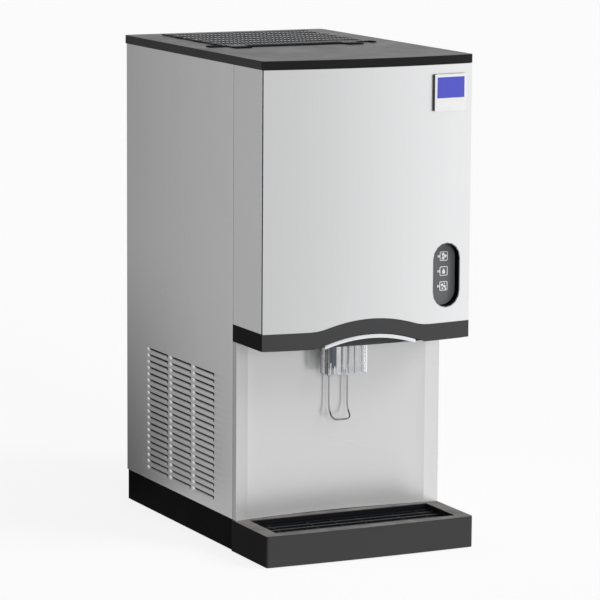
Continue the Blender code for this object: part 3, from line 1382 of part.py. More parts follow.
def fan_blades():
    """A hub with its shaft and five pitched blades."""
    low = FAN_X - FAN_DEPTH / 2
    tip = SHROUD_LEFT + RING_DEPTH + GAP + FAN_SHAFT_DEPTH - GAP
    hub = [(0, low), (FAN_HUB, low), (FAN_HUB, low + FAN_DEPTH), (FAN_SHAFT, low + FAN_DEPTH), (FAN_SHAFT, tip),
           (0, tip)]
    fan = make("fan_blades", turned(hub, (FAN_Y, FAN_Z), "X", 16), black_plastic())
    root = FAN_HUB * 0.9
    for i in range(FAN_BLADES):
        fuse(fan, fan_blade(root, 2 * math.pi * i / FAN_BLADES))
    return smooth(fan)


def fan_blade(root, turn):
    """A flat slab that widens outwards, pitched about its own length."""
    outline = [(root, -BLADE_ROOT / 2), (0.8 * FAN_RADIUS, -BLADE_TIP / 2), (0.95 * FAN_RADIUS, -0.3 * BLADE_TIP),
               (0.97 * FAN_RADIUS, 0.3 * BLADE_TIP), (0.8 * FAN_RADIUS, BLADE_TIP / 2), (root, BLADE_ROOT / 2)]
    blade = prism(outline, -BLADE_SHEET / 2, BLADE_SHEET / 2, "X")
    pitch = Matrix.Rotation(BLADE_PITCH, 4, "Y")
    place = Matrix.Translation((FAN_X, FAN_Y, FAN_Z)) @ Matrix.Rotation(turn, 4, "X") @ pitch
    bmesh.ops.transform(blade, matrix=place, verts=blade.verts)
    return blade


def fan_motor():
    """Motor on three arms that bear on the shroud's ring."""
    face = SHROUD_LEFT + RING_DEPTH + GAP
    end = face + FAN_MOTOR_LENGTH
    radius = FAN_MOTOR_RADIUS
    bore = FAN_SHAFT + RUNNING
    profile = [(0, face + FAN_SHAFT_DEPTH), (bore, face + FAN_SHAFT_DEPTH), (bore, face), (radius, face),
               (radius, end - radius * 0.3), (radius * 0.7, end), (0, end)]
    motor = make("fan_motor", turned(profile, (FAN_Y, FAN_Z), "X", 16), steel())
    reach = FAN_RADIUS + FAN_CLEARANCE + ARM_SHEET
    for i in range(3):
        angle = math.pi / 2 + 2 * math.pi * i / 3
        turn = Matrix.Rotation(angle, 2)
        half = ARM_WIDTH / 2
        root = radius * 0.8
        corners = [turn @ Vector(c) for c in ((root, -half), (reach, -half), (reach, half), (root, half))]
        fuse(motor, prism([(FAN_Y + c.x, FAN_Z + c.y) for c in corners], face, face + ARM_SHEET, "X"))
    return smooth(motor)


DRIER_X = 0.020
DRIER_Y = PANEL_BACK - 0.0614
DRIER_Z = 0.130
DRIER_LENGTH = 0.110
DRIER_RADIUS = 0.016
PIPE_RADIUS = 0.004


def pipe_run(name, points):
    """One copper pipe with bends of a fixed radius."""
    return make(name, tube_along(bent(points, 3 * PIPE_RADIUS), PIPE_RADIUS), copper())


def filter_drier():
    """Drier with the pipe brazed to its outlet, up to the evaporator."""
    low = DRIER_Z
    high = DRIER_Z + DRIER_LENGTH
    neck = PIPE_RADIUS * 1.5
    radius = DRIER_RADIUS
    profile = [(0, low - neck), (neck, low - neck), (neck, low), (radius, low + radius), (radius, high - radius),
               (neck, high), (neck, high + neck), (0, high + neck)]
    drier = make("filter_drier", turned(profile, (DRIER_X, DRIER_Y), "Z", SMALL_STEPS), copper())
    supply_z = high + 6 * neck
    supply = [(DRIER_X, DRIER_Y, high), (DRIER_X, DRIER_Y, supply_z), (EVAPORATOR_X, DRIER_Y, supply_z),
              (EVAPORATOR_X, EVAPORATOR_Y + BARREL_RADIUS + GAP, supply_z)]
    return smooth(fuse(drier, tube_along(bent(supply, 3 * PIPE_RADIUS), PIPE_RADIUS)))


def discharge_line():
    """From the compressor's top to the condenser's top."""
    coil_x = COIL_LEFT + COIL_THICKNESS / 2
    start_x = COMPRESSOR_X - COMPRESSOR_RADIUS / 4
    high = COIL_HIGH + 8 * PIPE_RADIUS
    points = [(start_x, COMPRESSOR_Y, COMPRESSOR_TOP + GAP), (start_x, COMPRESSOR_Y, high),
              (coil_x, COMPRESSOR_Y, high), (coil_x, COMPRESSOR_Y, COIL_HIGH + GAP)]
    return smooth(pipe_run("discharge_line", points))


def liquid_line():
    """From the condenser's foot to the drier."""
    coil_x = COIL_LEFT + COIL_THICKNESS / 2
    low = FLOOR_TOP + (COIL_HIGH - FLOOR_TOP) / BENDS
    points = [(coil_x, COIL_BACK + GAP, low), (coil_x, DRIER_Y, low), (DRIER_X, DRIER_Y, low),
              (DRIER_X, DRIER_Y, DRIER_Z - PIPE_RADIUS * 1.5 - GAP)]
    return smooth(pipe_run("liquid_line", points))


def suction_line():
    """From the evaporator back to the compressor."""
    start_x = COMPRESSOR_X + COMPRESSOR_RADIUS / 4
    high = COMPRESSOR_TOP + 8 * PIPE_RADIUS
    points = [(start_x, EVAPORATOR_Y - BARREL_RADIUS - GAP, high), (start_x, COMPRESSOR_Y, high),
              (start_x, COMPRESSOR_Y, COMPRESSOR_TOP + GAP)]
    return smooth(pipe_run("suction_line", points))


def water_line():
    """Line from the rear inlet up to the float valve, past the shelf's rear edge."""
    start_y = PANEL_BACK - INLET_RADIUS - GAP
    high = RESERVOIR_HIGH + 0.007
    points = [(INLET_X, start_y, INLET_Z), (INLET_X, RISER_Y, INLET_Z), (INLET_X, RISER_Y, high),
              (FLOAT_X, RISER_Y, high), (FLOAT_X, RESERVOIR_BACK + 0.007 + GAP, high)]
    return smooth(make("water_line", tube_along(bent(points, 2.4 * PIPE_RADIUS), PIPE_RADIUS), white_plastic()))


# Electrical box on the back of the bin
BOX_LEFT = 0.0184 - PANEL_X
BOX_RIGHT = BOX_LEFT + 0.170
BOX_DEPTH = 0.055
BOX_HIGH = BIN_HIGH - 0.052
BOX_LOW = RESERVOIR_HIGH + 0.052
STANDOFF = 0.004


def electrical_box():
    front = BIN_BACK + GAP
    back = front + BOX_DEPTH
    box = make("electrical_box", block(BOX_LEFT, BOX_RIGHT, front, back, BOX_LOW, BOX_HIGH), steel())
    wall = 2 * SHEET
    cut(box, block(BOX_LEFT + wall, BOX_RIGHT - wall, front + wall, back + OVERRUN, BOX_LOW + wall,
                   BOX_HIGH - wall))
    for x in (BOX_LEFT + 4 * STANDOFF, BOX_RIGHT - 4 * STANDOFF):
        for z in (BOX_LOW + 4 * STANDOFF, BOX_HIGH - 4 * STANDOFF):
            fuse(box, cylinder((x, z), STANDOFF, front + SHEET, front + wall + 2 * STANDOFF, "Y", 8))
    return box


def control_board():
    front = BIN_BACK + GAP + 2 * SHEET + 2 * STANDOFF + GAP
    margin = 2 * STANDOFF
    flat = block(BOX_LEFT + margin, BOX_RIGHT - margin, front, front + BOARD_THICKNESS, BOX_LOW + margin,
                 BOX_HIGH - margin)
    board = make("control_board", flat, circuit_board())
    part = 3 * STANDOFF
    left = (BOX_LEFT + BOX_RIGHT) / 2 - 2 * part
    right = left + 4 * part
    low = BOX_LOW + 4 * part
    high = BOX_HIGH - 4 * part
    for x, z, size in ((left, high, part), (right, low, part), (right, high, part / 2)):
        fuse(board, block(x - size, x + size, front + BOARD_THICKNESS / 2, front + 1.2 * part, z - size,
                          z + size))
    return board


def build():
    clear_scene()
    for maker in (base_pan, left_side_panel, right_side_panel, rear_panel, water_inlet, cord_gland, front_panel,
                  band_trim, arc_strip, splash_panel, ice_chute, water_nozzle, ceiling_plate, lever_bracket,
                  lever_hub, wire_lever, micro_switch, switch_plunger, control_panel, key_board, badge_plate,
                  top_cover, top_grille, drip_tray, drip_grille, drain_pipe, chassis_shelf, ice_bin, bin_lid,
                  dispense_wheel, dispense_motor, auger_gearmotor, evaporator_barrel, auger, extruder_head,
                  ice_transfer_tube, water_reservoir, float_valve, float_arm, compressor, compressor_mount,
                  condenser_coil, fan_shroud, fan_blades, fan_motor, filter_drier, discharge_line, liquid_line,
                  suction_line, water_line, electrical_box, control_board):
        maker()
    for side, hand in ((-1, "left"), (1, "right")):
        cheek(hand + "_cheek", side)
        foot_runner(hand + "_foot_runner", side)
    for index in range(len(KEY_NAMES)):
        selector_key(index)


build()
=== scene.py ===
"""Looks for a countertop ice and water dispenser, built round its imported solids.

The solids keep their place and shape: modifiers weld their loose triangles and round their edges, and each
gets its finish. A piece whose real form is finer than its solid is built here as a grid of points.
All lengths are in metres.
"""

import math

import bmesh
import bpy
import numpy as np
from mathutils import Matrix, Vector


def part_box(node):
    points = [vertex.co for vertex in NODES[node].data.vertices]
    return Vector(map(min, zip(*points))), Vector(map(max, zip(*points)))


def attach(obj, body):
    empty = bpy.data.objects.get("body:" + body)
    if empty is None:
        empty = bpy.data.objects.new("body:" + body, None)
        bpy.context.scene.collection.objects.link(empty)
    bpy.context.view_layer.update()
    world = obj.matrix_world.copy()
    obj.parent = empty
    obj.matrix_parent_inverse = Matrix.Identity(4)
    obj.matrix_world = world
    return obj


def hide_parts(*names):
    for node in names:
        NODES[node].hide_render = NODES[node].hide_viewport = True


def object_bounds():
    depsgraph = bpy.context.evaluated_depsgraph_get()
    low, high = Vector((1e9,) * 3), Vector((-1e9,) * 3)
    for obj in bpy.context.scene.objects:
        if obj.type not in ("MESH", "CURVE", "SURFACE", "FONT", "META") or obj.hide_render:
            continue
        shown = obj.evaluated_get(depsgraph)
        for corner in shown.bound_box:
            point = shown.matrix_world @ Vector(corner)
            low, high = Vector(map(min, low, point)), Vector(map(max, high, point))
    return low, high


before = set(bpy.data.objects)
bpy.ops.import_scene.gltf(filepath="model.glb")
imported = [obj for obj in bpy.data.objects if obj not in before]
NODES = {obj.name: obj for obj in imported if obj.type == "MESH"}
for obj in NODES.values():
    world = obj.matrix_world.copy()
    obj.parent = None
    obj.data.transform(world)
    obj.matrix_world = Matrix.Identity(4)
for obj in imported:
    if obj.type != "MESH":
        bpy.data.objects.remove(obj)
cad_low, cad_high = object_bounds()

GAP = 0.0003
FRONT_BOW = 0.0175
DOOR_HALF = (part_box("front_panel")[1].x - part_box("front_panel")[0].x) / 2
DOOR_CORNER = -0.2919
QUARTER = 0.5 * math.pi
# Distances within which points are joined, in a built piece and in a solid
JOIN_WITHIN = 1e-6
WELD_WITHIN = 1e-5
# Angles in degrees between faces: shaded smooth up to, bevelled from, and taken as flat within
SMOOTH_UP_TO = 35
BEVEL_FROM = 40
FLAT_WITHIN = 0.5


# Shapes: grids of points and the meshes over them


def grid_faces(rows, cols, close_rows=False, close_cols=False):
    """Corner numbers of the quads over a grid of rows by cols points, as one array."""
    number = np.arange(rows * cols).reshape(rows, cols)
    if close_rows:
        number = np.vstack([number, number[:1]])
    if close_cols:
        number = np.hstack([number, number[:, :1]])
    corners = [number[:-1, :-1], number[:-1, 1:], number[1:, 1:], number[1:, :-1]]
    return np.stack(corners, axis=-1).reshape(-1, 4)


def capped_faces(rows, cols, start=0):
    """Quads round a grid whose columns close, and a face over its first and its last row."""
    last = start + (rows - 1) * cols
    quads = grid_faces(rows, cols, close_cols=True) + start
    return [*quads, range(start, start + cols), range(last, last + cols)]


def new_piece(name, points, faces, finish, body, crease=SMOOTH_UP_TO, outward=True):
    """Mesh from an array of points and lists of corner numbers, shaded smooth up to the crease angle."""
    mesh = bpy.data.meshes.new(name)
    faces = [list(map(int, face)) for face in faces]
    mesh.from_pydata(np.asarray(points, float).reshape(-1, 3).tolist(), [], faces)
    tidy = bmesh.new()
    tidy.from_mesh(mesh)
    bmesh.ops.remove_doubles(tidy, verts=tidy.verts, dist=JOIN_WITHIN)
    if outward:
        bmesh.ops.recalc_face_normals(tidy, faces=tidy.faces)
    tidy.to_mesh(mesh)
    tidy.free()
    mesh.shade_smooth()
    mesh.set_sharp_from_angle(angle=math.radians(crease))
    mesh.materials.append(finish)
    piece = bpy.data.objects.new(name, mesh)
    bpy.context.scene.collection.objects.link(piece)
    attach(piece, body)
    return piece


def round_edges(piece, width):
    """Bevels every sharp edge, and shades each flat face flat."""
    bevel = piece.modifiers.new("rounded edges", "BEVEL")
    bevel.width = width
    bevel.segments = 2
    bevel.limit_method = "ANGLE"
    bevel.angle_limit = math.radians(BEVEL_FROM)
    shade = piece.modifiers.new("flat faces", "WEIGHTED_NORMAL")
    shade.keep_sharp = True
    return piece


def rectangle(left, right, front, back, inset=0.0):
    """Four corners, moved inward by an inset."""
    left, right, front, back = left + inset, right - inset, front + inset, back - inset
    return [(left, front), (right, front), (right, back), (left, back)]


def lifted(outline, level, axis="Z"):
    """Points of a flat outline at a level along the third axis: one level for all, or one for each point."""
    return np.insert(np.asarray(outline, float), "XYZ".index(axis), level, axis=1)


def slabs(name, outlines, low, high, finish, body, axis="Z", edge=0.0):
    """One piece of flat outlines, each carried straight along an axis from its low to its high end."""
    points, faces, start = [], [], 0
    for outline in outlines:
        points += [lifted(outline, level, axis) for level in (low, high)]
        faces += capped_faces(2, len(outline), start)
        start += 2 * len(outline)
    piece = new_piece(name, np.concatenate(points), faces, finish, body)
    return round_edges(piece, edge) if edge else piece


def ringed_wall(name, rings, finish, body, axis="Z"):
    """Closed wall through rings of equal counts: each is a flat outline and its level along the axis."""
    points = np.stack([lifted(outline, level, axis) for outline, level in rings])
    faces = grid_faces(*points.shape[:2], close_rows=True, close_cols=True)
    return new_piece(name, points, faces, finish, body, crease=50)


def wall_between(name, outer, inner, low, high, finish, body, axis="Z"):
    """Closed wall between two outlines: rings at the outer foot, outer top, inner top and inner foot."""
    return ringed_wall(name, ((outer, low), (outer, high), (inner, high), (inner, low)), finish, body, axis)


def tube(name, route, radius, finish, body, sides):
    """A circle carried along a route that doesn't start along X: each point is the route's point plus radius
    times cos and sin of the angle along two directions, square to the route, that turn as it does."""
    route = np.asarray(route, float)
    ahead = np.gradient(route, axis=0)
    ahead /= np.linalg.norm(ahead, axis=1)[:, None]
    side = np.empty_like(ahead)
    side[0] = np.cross(ahead[0], (1.0, 0.0, 0.0))
    for i in range(1, len(route)):
        side[i] = side[i - 1] - ahead[i] * (side[i - 1] @ ahead[i])
    side /= np.linalg.norm(side, axis=1)[:, None]
    other = np.cross(ahead, side)
    angle = np.linspace(0, 2 * math.pi, sides, endpoint=False)[:, None]
    ring = np.cos(angle) * side[:, None, :] + np.sin(angle) * other[:, None, :]
    return new_piece(name, route[:, None, :] + radius * ring, capped_faces(len(route), sides), finish, body)


def filleted(corners, radius, steps):
    """A route through corner points, each inner corner replaced by an arc: a quadratic curve from one tangent
    point to the other, with the corner as its middle handle. It takes less than half of either side."""
    corners = [np.asarray(c, float) for c in corners]
    route = [corners[0]]
    for before, corner, after in zip(corners, corners[1:], corners[2:]):
        back, on = before - corner, after - corner
        reach = min(radius, 0.49 * np.linalg.norm(back), 0.49 * np.linalg.norm(on))
        start, end = (corner + side / np.linalg.norm(side) * reach for side in (back, on))
        for t in np.linspace(0, 1, steps):
            route.append((1 - t) ** 2 * start + 2 * t * (1 - t) * corner + t ** 2 * end)
    return np.array(route + [corners[-1]])


def rounded_square(x, z, half_x, half_z, corner, steps=6):
    """Outline of a square with round corners: quarter circles about four centres, in order."""
    outline = []
    for k, (sx, sz) in enumerate(((1, 1), (-1, 1), (-1, -1), (1, -1))):
        angle = np.linspace(0, QUARTER, steps) + QUARTER * k
        outline.append(np.stack([x + sx * (half_x - corner) + corner * np.cos(angle),
                                 z + sz * (half_z - corner) + corner * np.sin(angle)], axis=1))
    return np.concatenate(outline)


def bowed_y(x, half=DOOR_HALF):
    """Front face of the bowed door, or of the band under it with its own half width: a parabola across."""
    return DOOR_CORNER - FRONT_BOW * (1 - (x / half) ** 2)


# Nodes, and the groups that more than one finish uses


def feed(node, inputs):
    """Fills a node's inputs, by name or number: a socket is linked, and anything else is set as the value."""
    for key, value in inputs.items():
        if isinstance(value, bpy.types.NodeSocket):
            node.id_data.links.new(value, node.inputs[key])
        else:
            node.inputs[key].default_value = value


def add_node(tree, kind, inputs=(), **settings):
    """A new node with its settings and its inputs."""
    node = tree.nodes.new(kind)
    for name, value in settings.items():
        setattr(node, name, value)
    feed(node, dict(inputs))
    return node


def math_node(tree, operation, first, second=0.0, clamp=False):
    node = add_node(tree, "ShaderNodeMath", {0: first, 1: second}, operation=operation, use_clamp=clamp)
    return node.outputs[0]


def product(tree, value, *factors):
    """The value times each factor in turn."""
    for factor in factors:
        value = math_node(tree, "MULTIPLY", value, factor)
    return value


def plus_share(tree, base, amount, share):
    """The base plus a share of the amount."""
    return math_node(tree, "ADD", product(tree, amount, share), base)


def object_place(tree):
    return add_node(tree, "ShaderNodeTexCoord").outputs["Object"]


def face_normal(tree):
    return add_node(tree, "ShaderNodeNewGeometry").outputs["Normal"]


def along(tree, vector, axis):
    """One axis of a vector."""
    return add_node(tree, "ShaderNodeSeparateXYZ", {0: vector}).outputs[axis]


def scaled_noise(tree, stretch, detail, roughness=0.5):
    """Noise over the object's own coordinates, each axis times its own stretch."""
    place = add_node(tree, "ShaderNodeVectorMath", {0: object_place(tree), 1: stretch}, operation="MULTIPLY")
    inputs = {"Vector": place.outputs[0], "Scale": 1.0, "Detail": detail, "Roughness": roughness}
    return add_node(tree, "ShaderNodeTexNoise", inputs).outputs["Fac"]


def shader_group(name, inputs, outputs):
    """An empty node group: its inputs as names with numbers or vectors, and its outputs as names."""
    group = bpy.data.node_groups.new(name, "ShaderNodeTree")
    for label, value in inputs.items():
        kind = "NodeSocketVector" if isinstance(value, tuple) else "NodeSocketFloat"
        group.interface.new_socket(label, in_out="INPUT", socket_type=kind).default_value = value
    for label in outputs:
        group.interface.new_socket(label, in_out="OUTPUT", socket_type="NodeSocketFloat")
    return group, add_node(group, "NodeGroupInput").outputs, add_node(group, "NodeGroupOutput")


def grain_group(name, stretch, detail, roughness=0.5):
    """Noise drawn out by a stretch, as a height, and as a tone that is the height less one half."""
    group, given, made = shader_group(name, {"Stretch": stretch}, ("Height", "Tone"))
    noise = scaled_noise(group, given["Stretch"], detail, roughness)
    feed(made, {"Height": noise, "Tone": math_node(group, "SUBTRACT", noise, 0.5)})
    return group


def dust_and_sheen_group():
    """Thin dust and painted sheen: the sixth power of how far a face looks up, times patches of noise, only
    above a height.
    """
    inputs = {"Amount": 0.3, "Above": 0.0, "Stretch": (30.0, 30.0, 30.0)}
    group, given, made = shader_group("dust_and_sheen", inputs, ("Mask",))
    upward = math_node(group, "MAXIMUM", along(group, face_normal(group), "Z"), 0.0)
    upward = math_node(group, "POWER", upward, 6.0)
    patch = scaled_noise(group, given["Stretch"], 5.0)
    clear = math_node(group, "GREATER_THAN", along(group, object_place(group), "Z"), given["Above"])
    feed(made, {"Mask": product(group, upward, patch, clear, given["Amount"])})
    return group


def folded_sheet_group():
    """Height that a sheet pressed the other way would have, as gloss shows it: it falls with the square of
    the distance from the middle up to the bend, and then evenly out to the edge."""
    inputs = {"Bend": 0.178, "Bow": 0.380, "Fall": 0.315}
    group, given, made = shader_group("folded_sheet", inputs, ("Height",))
    away = math_node(group, "ABSOLUTE", along(group, object_place(group), "X"))
    inside = math_node(group, "POWER", math_node(group, "MINIMUM", away, given["Bend"]), 2.0)
    outside = math_node(group, "MAXIMUM", math_node(group, "SUBTRACT", away, given["Bend"]), 0.0)
    drop = plus_share(group, product(group, outside, given["Fall"]), inside, given["Bow"])
    feed(made, {"Height": product(group, drop, -1.0)})
    return group


# Long fine lines, patches a hand's breadth wide as wiping leaves them, and the pebbled skin of a moulding
BRUSH_MARKS = grain_group("brush_marks", (2600.0, 2600.0, 14.0), 2.0)
SMUDGES = grain_group("smudges", (9.0, 9.0, 5.0), 3.0)
MOULDED_SKIN = grain_group("moulded_skin", (1500.0, 1500.0, 1500.0), 4.0, 0.6)
DUST_AND_SHEEN = dust_and_sheen_group()
FOLDED_SHEET = folded_sheet_group()


# Finishes

# Shares of the steel's lines in its gloss, and of smudges in a moulding's gloss and in a drawn metal's gloss
# and colour
GRAIN_IN_GLOSS = 0.12
SKIN_SMUDGE = 0.18
DRAWN_SMUDGE = 0.25
DRAWN_TONE = 0.24
# Pale grey of dust, which also paints the sheen on faces that look up
DUST_SHEEN_COLOUR = (0.42, 0.41, 0.39, 1.0)


def bare_finish(name, colour, roughness, metallic=0.0, specular=0.5, **sockets):
    """A material with one Principled shader; further sockets are named with underscores for spaces."""
    material = bpy.data.materials.new(name)
    material.use_nodes = True
    tree = material.node_tree
    shader = tree.nodes["Principled BSDF"]
    feed(shader, {"Base Color": (*colour, 1.0), "Roughness": roughness, "Metallic": metallic,
                  "Specular IOR Level": specular})
    feed(shader, {socket.replace("_", " "): value for socket, value in sockets.items()})
    return material, tree, shader


def placed(tree, group, **values):
    """Outputs of a node group that is put in a tree with its values."""
    return add_node(tree, "ShaderNodeGroup", values, node_tree=group).outputs


def with_factor(shader, colour, factor):
    """Base colour: a colour, or the socket it comes from, times a factor."""
    scaled = add_node(shader.id_data, "ShaderNodeVectorMath", {0: colour, "Scale": factor}, operation="SCALE")
    feed(shader, {"Base Color": scaled.outputs[0]})


def with_bump(shader, height, depth):
    """Relief: a height times a depth."""
    bump = add_node(shader.id_data, "ShaderNodeBump", {"Height": height, "Distance": depth})
    feed(shader, {"Normal": bump.outputs["Normal"]})


def brushed_steel(name, colour, roughness, grain=(2600.0, 2600.0, 14.0), depth=0.00002, tone=0.10, smear=0.10,
                  metal=1.0):
    """Brushed sheet: fine lines in colour, gloss and relief, and soft patches in the gloss. The colour is
    times one plus a share of the lines, and the roughness adds shares of the patches and the lines."""
    material, tree, shader = bare_finish(name, colour, roughness, metal)
    marks = placed(tree, BRUSH_MARKS, Stretch=grain)
    patch = placed(tree, SMUDGES)["Tone"]
    with_factor(shader, colour, plus_share(tree, 1.0, marks["Tone"], tone))
    rough = plus_share(tree, plus_share(tree, roughness, patch, smear), marks["Tone"], GRAIN_IN_GLOSS)
    feed(shader, {"Roughness": rough})
    with_bump(shader, marks["Height"], depth)
    return material


def splash_steel(name, colour, roughness):
    """Brushed steel with its grain across, whose gloss is drawn out and follows the sheet's folds."""
    material = brushed_steel(name, colour, roughness, grain=(9.0, 2200.0, 2200.0), depth=0.000001, smear=0.05,
                             metal=0.55)
    tree = material.node_tree
    shader = tree.nodes["Principled BSDF"]
    feed(shader, {"Anisotropic": 0.75, "Anisotropic Rotation": 0.25})
    height = placed(tree, FOLDED_SHEET)["Height"]
    folds = add_node(tree, "ShaderNodeBump", {"Height": height, "Distance": 1.0})
    feed(shader.inputs["Normal"].links[0].from_node, {"Normal": folds.outputs["Normal"]})
    return material


def moulded(name, colour, roughness, skin=1500.0, depth=0.00004, tone=0.15, dust_sheen=0.0, above=0.0, **looks):
    """Moulded plastic: pebbled skin, slightly uneven gloss, and dust with painted sheen on what looks up
    above a height.
    """
    material, tree, shader = bare_finish(name, colour, roughness, **looks)
    grain = placed(tree, MOULDED_SKIN, Stretch=(skin, skin, skin))
    patch = placed(tree, SMUDGES, Stretch=(14.0, 14.0, 14.0))["Tone"]
    feed(shader, {"Roughness": plus_share(tree, roughness, patch, SKIN_SMUDGE)})
    with_factor(shader, colour, plus_share(tree, 1.0, grain["Tone"], tone))
    # dust and painted sheen: a pale colour mixed in on faces that look up
    if dust_sheen:
        mask = placed(tree, DUST_AND_SHEEN, Amount=dust_sheen, Above=above)["Mask"]
        base = shader.inputs["Base Color"].links[0].from_socket
        mix = add_node(tree, "ShaderNodeMix", data_type="RGBA")
        feed(mix, {"Factor": mask, "A": base, "B": DUST_SHEEN_COLOUR})
        feed(shader, {"Base Color": mix.outputs["Result"]})
    with_bump(shader, grain["Height"], depth)
    return material


def with_painted_front_shade(material, share):
    """Painted shade: base colour times one minus a share of the square of how far a face looks forward."""
    tree = material.node_tree
    shader = tree.nodes["Principled BSDF"]
    forward = math_node(tree, "ABSOLUTE", along(tree, face_normal(tree), "Y"))
    forward = math_node(tree, "POWER", forward, 2.0)
    keep = math_node(tree, "SUBTRACT", 1.0, product(tree, forward, share))
    with_factor(shader, shader.inputs["Base Color"].links[0].from_socket, keep)
    return material


def clear_moulding(name, colour, roughness):
    """Clear plastic: light passes through, and the skin is almost smooth."""
    material, tree, shader = bare_finish(name, colour, roughness, IOR=1.47, Transmission_Weight=1.0)
    with_bump(shader, placed(tree, MOULDED_SKIN, Stretch=(260.0, 260.0, 60.0))["Height"], depth=0.00003)
    return material


def drawn_metal(name, colour, roughness):
    """Wire, pipe and cast parts: a short even grain in relief, and patches in colour and gloss."""
    material, tree, shader = bare_finish(name, colour, roughness, metallic=1.0)
    marks = placed(tree, BRUSH_MARKS, Stretch=(900.0, 900.0, 900.0))
    patch = placed(tree, SMUDGES, Stretch=(40.0, 40.0, 40.0))["Tone"]
    with_factor(shader, colour, plus_share(tree, 1.0, patch, DRAWN_TONE))
    feed(shader, {"Roughness": plus_share(tree, roughness, patch, DRAWN_SMUDGE)})
    with_bump(shader, marks["Height"], depth=0.00001)
    return material


def coil_fins(name, colour):
    """Condenser block: thin upright fins as close waves along Y, in colour and relief."""
    material, tree, shader = bare_finish(name, colour, 0.55, metallic=0.5)
    inputs = {"Vector": object_place(tree), "Scale": 180.0, "Distortion": 0.4}
    wave = add_node(tree, "ShaderNodeTexWave", inputs, bands_direction="Y").outputs["Fac"]
    with_factor(shader, colour, plus_share(tree, 1.0, wave, share=0.9))
    with_bump(shader, wave, depth=0.0006)
    return material


def board_laminate(name, colour):
    """Circuit board: laminate with square traces as darker cells."""
    material, tree, shader = bare_finish(name, colour, 0.4)
    inputs = {"Vector": object_place(tree), "Scale": 160.0}
    cells = add_node(tree, "ShaderNodeTexVoronoi", inputs, distance="CHEBYCHEV").outputs["Distance"]
    with_factor(shader, colour, plus_share(tree, 1.0, cells, share=1.2))
    with_bump(shader, cells, depth=0.0001)
    return material


DOOR_STEEL = brushed_steel("door brushed steel", (0.79, 0.793, 0.80), 0.32)
# The cheeks' and sides' steel is a darker copy of the door's: partly painted shade on the sides
CHEEK_STEEL = brushed_steel("cheek brushed steel", (0.64, 0.64, 0.64), 0.34)
SIDE_STEEL = brushed_steel("side brushed steel", (0.66, 0.66, 0.66), 0.30)
SPLASH_STEEL = splash_steel("splash brushed steel", (0.70, 0.70, 0.70), 0.23)
# painted shade on the cover's front faces, and painted sheen with some dust on its top
COVER_BLACK = with_painted_front_shade(
    moulded("cover satin black", (0.026, 0.026, 0.027), 0.34, dust_sheen=0.14, specular=0.14), share=0.62)
BAND_BLACK = moulded("band satin black", (0.072, 0.072, 0.074), 0.42, specular=0.01)
# painted sheen on the tray's rim tops, through a strong dust mask there, with some real dust
TRAY_BLACK = moulded("tray satin black", (0.062, 0.062, 0.064), 0.42, dust_sheen=1.0, above=0.056, specular=0.012)
BASE_BLACK = moulded("base black coat", (0.016, 0.016, 0.016), 0.55, specular=0.01)
DEEP_BLACK = moulded("black moulding", (0.010, 0.010, 0.011), 0.40)
GRILLE_BLACK = moulded("grille gloss black", (0.080, 0.087, 0.100), 0.14, metallic=0.5)
# painted shade: near black for recesses, holes and gaps that lie in shade
PAINTED_SHADE_BLACK = moulded("painted shade black", (0.005, 0.005, 0.006), 0.6, specular=0.02)
SLAT_BLACK = moulded("slat gloss black", (0.007, 0.008, 0.010), 0.20, depth=0.00001, specular=0.08)
# painted shade for the tray basin's inner walls
BASIN_SHADE_BLACK = moulded("basin painted shade", (0.007, 0.007, 0.008), 0.5, specular=0.1)
# painted reflections: these strip finishes stand in for the clear chute's light and dark bands
SMOKY_REFLECTION_RIB = drawn_metal("smoky painted reflection", (0.13, 0.15, 0.18), 0.30)
DARK_REFLECTION_RIB = moulded("dark painted reflection", (0.030, 0.034, 0.042), 0.20, depth=0.00001)
PALE_REFLECTION_RIB = drawn_metal("pale painted reflection", (0.96, 0.96, 0.97), 0.22)
GREY_REFLECTION_RIB = drawn_metal("grey painted reflection", (0.42, 0.44, 0.48), 0.25)
PANEL_GREY = moulded("control face grey", (0.125, 0.128, 0.135), 0.40)
PRINT_WHITE = moulded("white print", (0.86, 0.87, 0.88), 0.45, depth=0.00001)
BADGE_WHITE = moulded("badge white", (0.88, 0.88, 0.88), 0.28, depth=0.00001, tone=0.03)
BADGE_BLUE = moulded("badge blue", (0.075, 0.085, 0.55), 0.30, depth=0.00001, tone=0.06)
CLEAR_CHUTE = clear_moulding("clear chute", (0.98, 0.99, 1.0), 0.02)
BRIGHT_STRIP = drawn_metal("bright strip", (0.84, 0.85, 0.87), 0.30)
LEVER_WIRE = drawn_metal("lever wire", (0.36, 0.36, 0.37), 0.20)
FOOD_WHITE = moulded("food white", (0.78, 0.79, 0.78), 0.42, tone=0.05)
ZINC = brushed_steel("zinc sheet", (0.55, 0.56, 0.57), 0.42, grain=(60.0, 60.0, 60.0), depth=0.00001,
                     tone=0.35)
COPPER = drawn_metal("copper pipe", (0.72, 0.36, 0.22), 0.30)
BRASS = drawn_metal("brass fitting", (0.72, 0.52, 0.24), 0.30)
RUBBER = moulded("rubber", (0.015, 0.015, 0.015), 0.75, skin=700.0, depth=0.0001)
SHELL_BLACK = moulded("compressor paint", (0.012, 0.012, 0.013), 0.30, skin=400.0, depth=0.0001, dust_sheen=0.25)
FINS = coil_fins("condenser fins", (0.10, 0.10, 0.105))
LAMINATE = board_laminate("board laminate", (0.03, 0.17, 0.07))

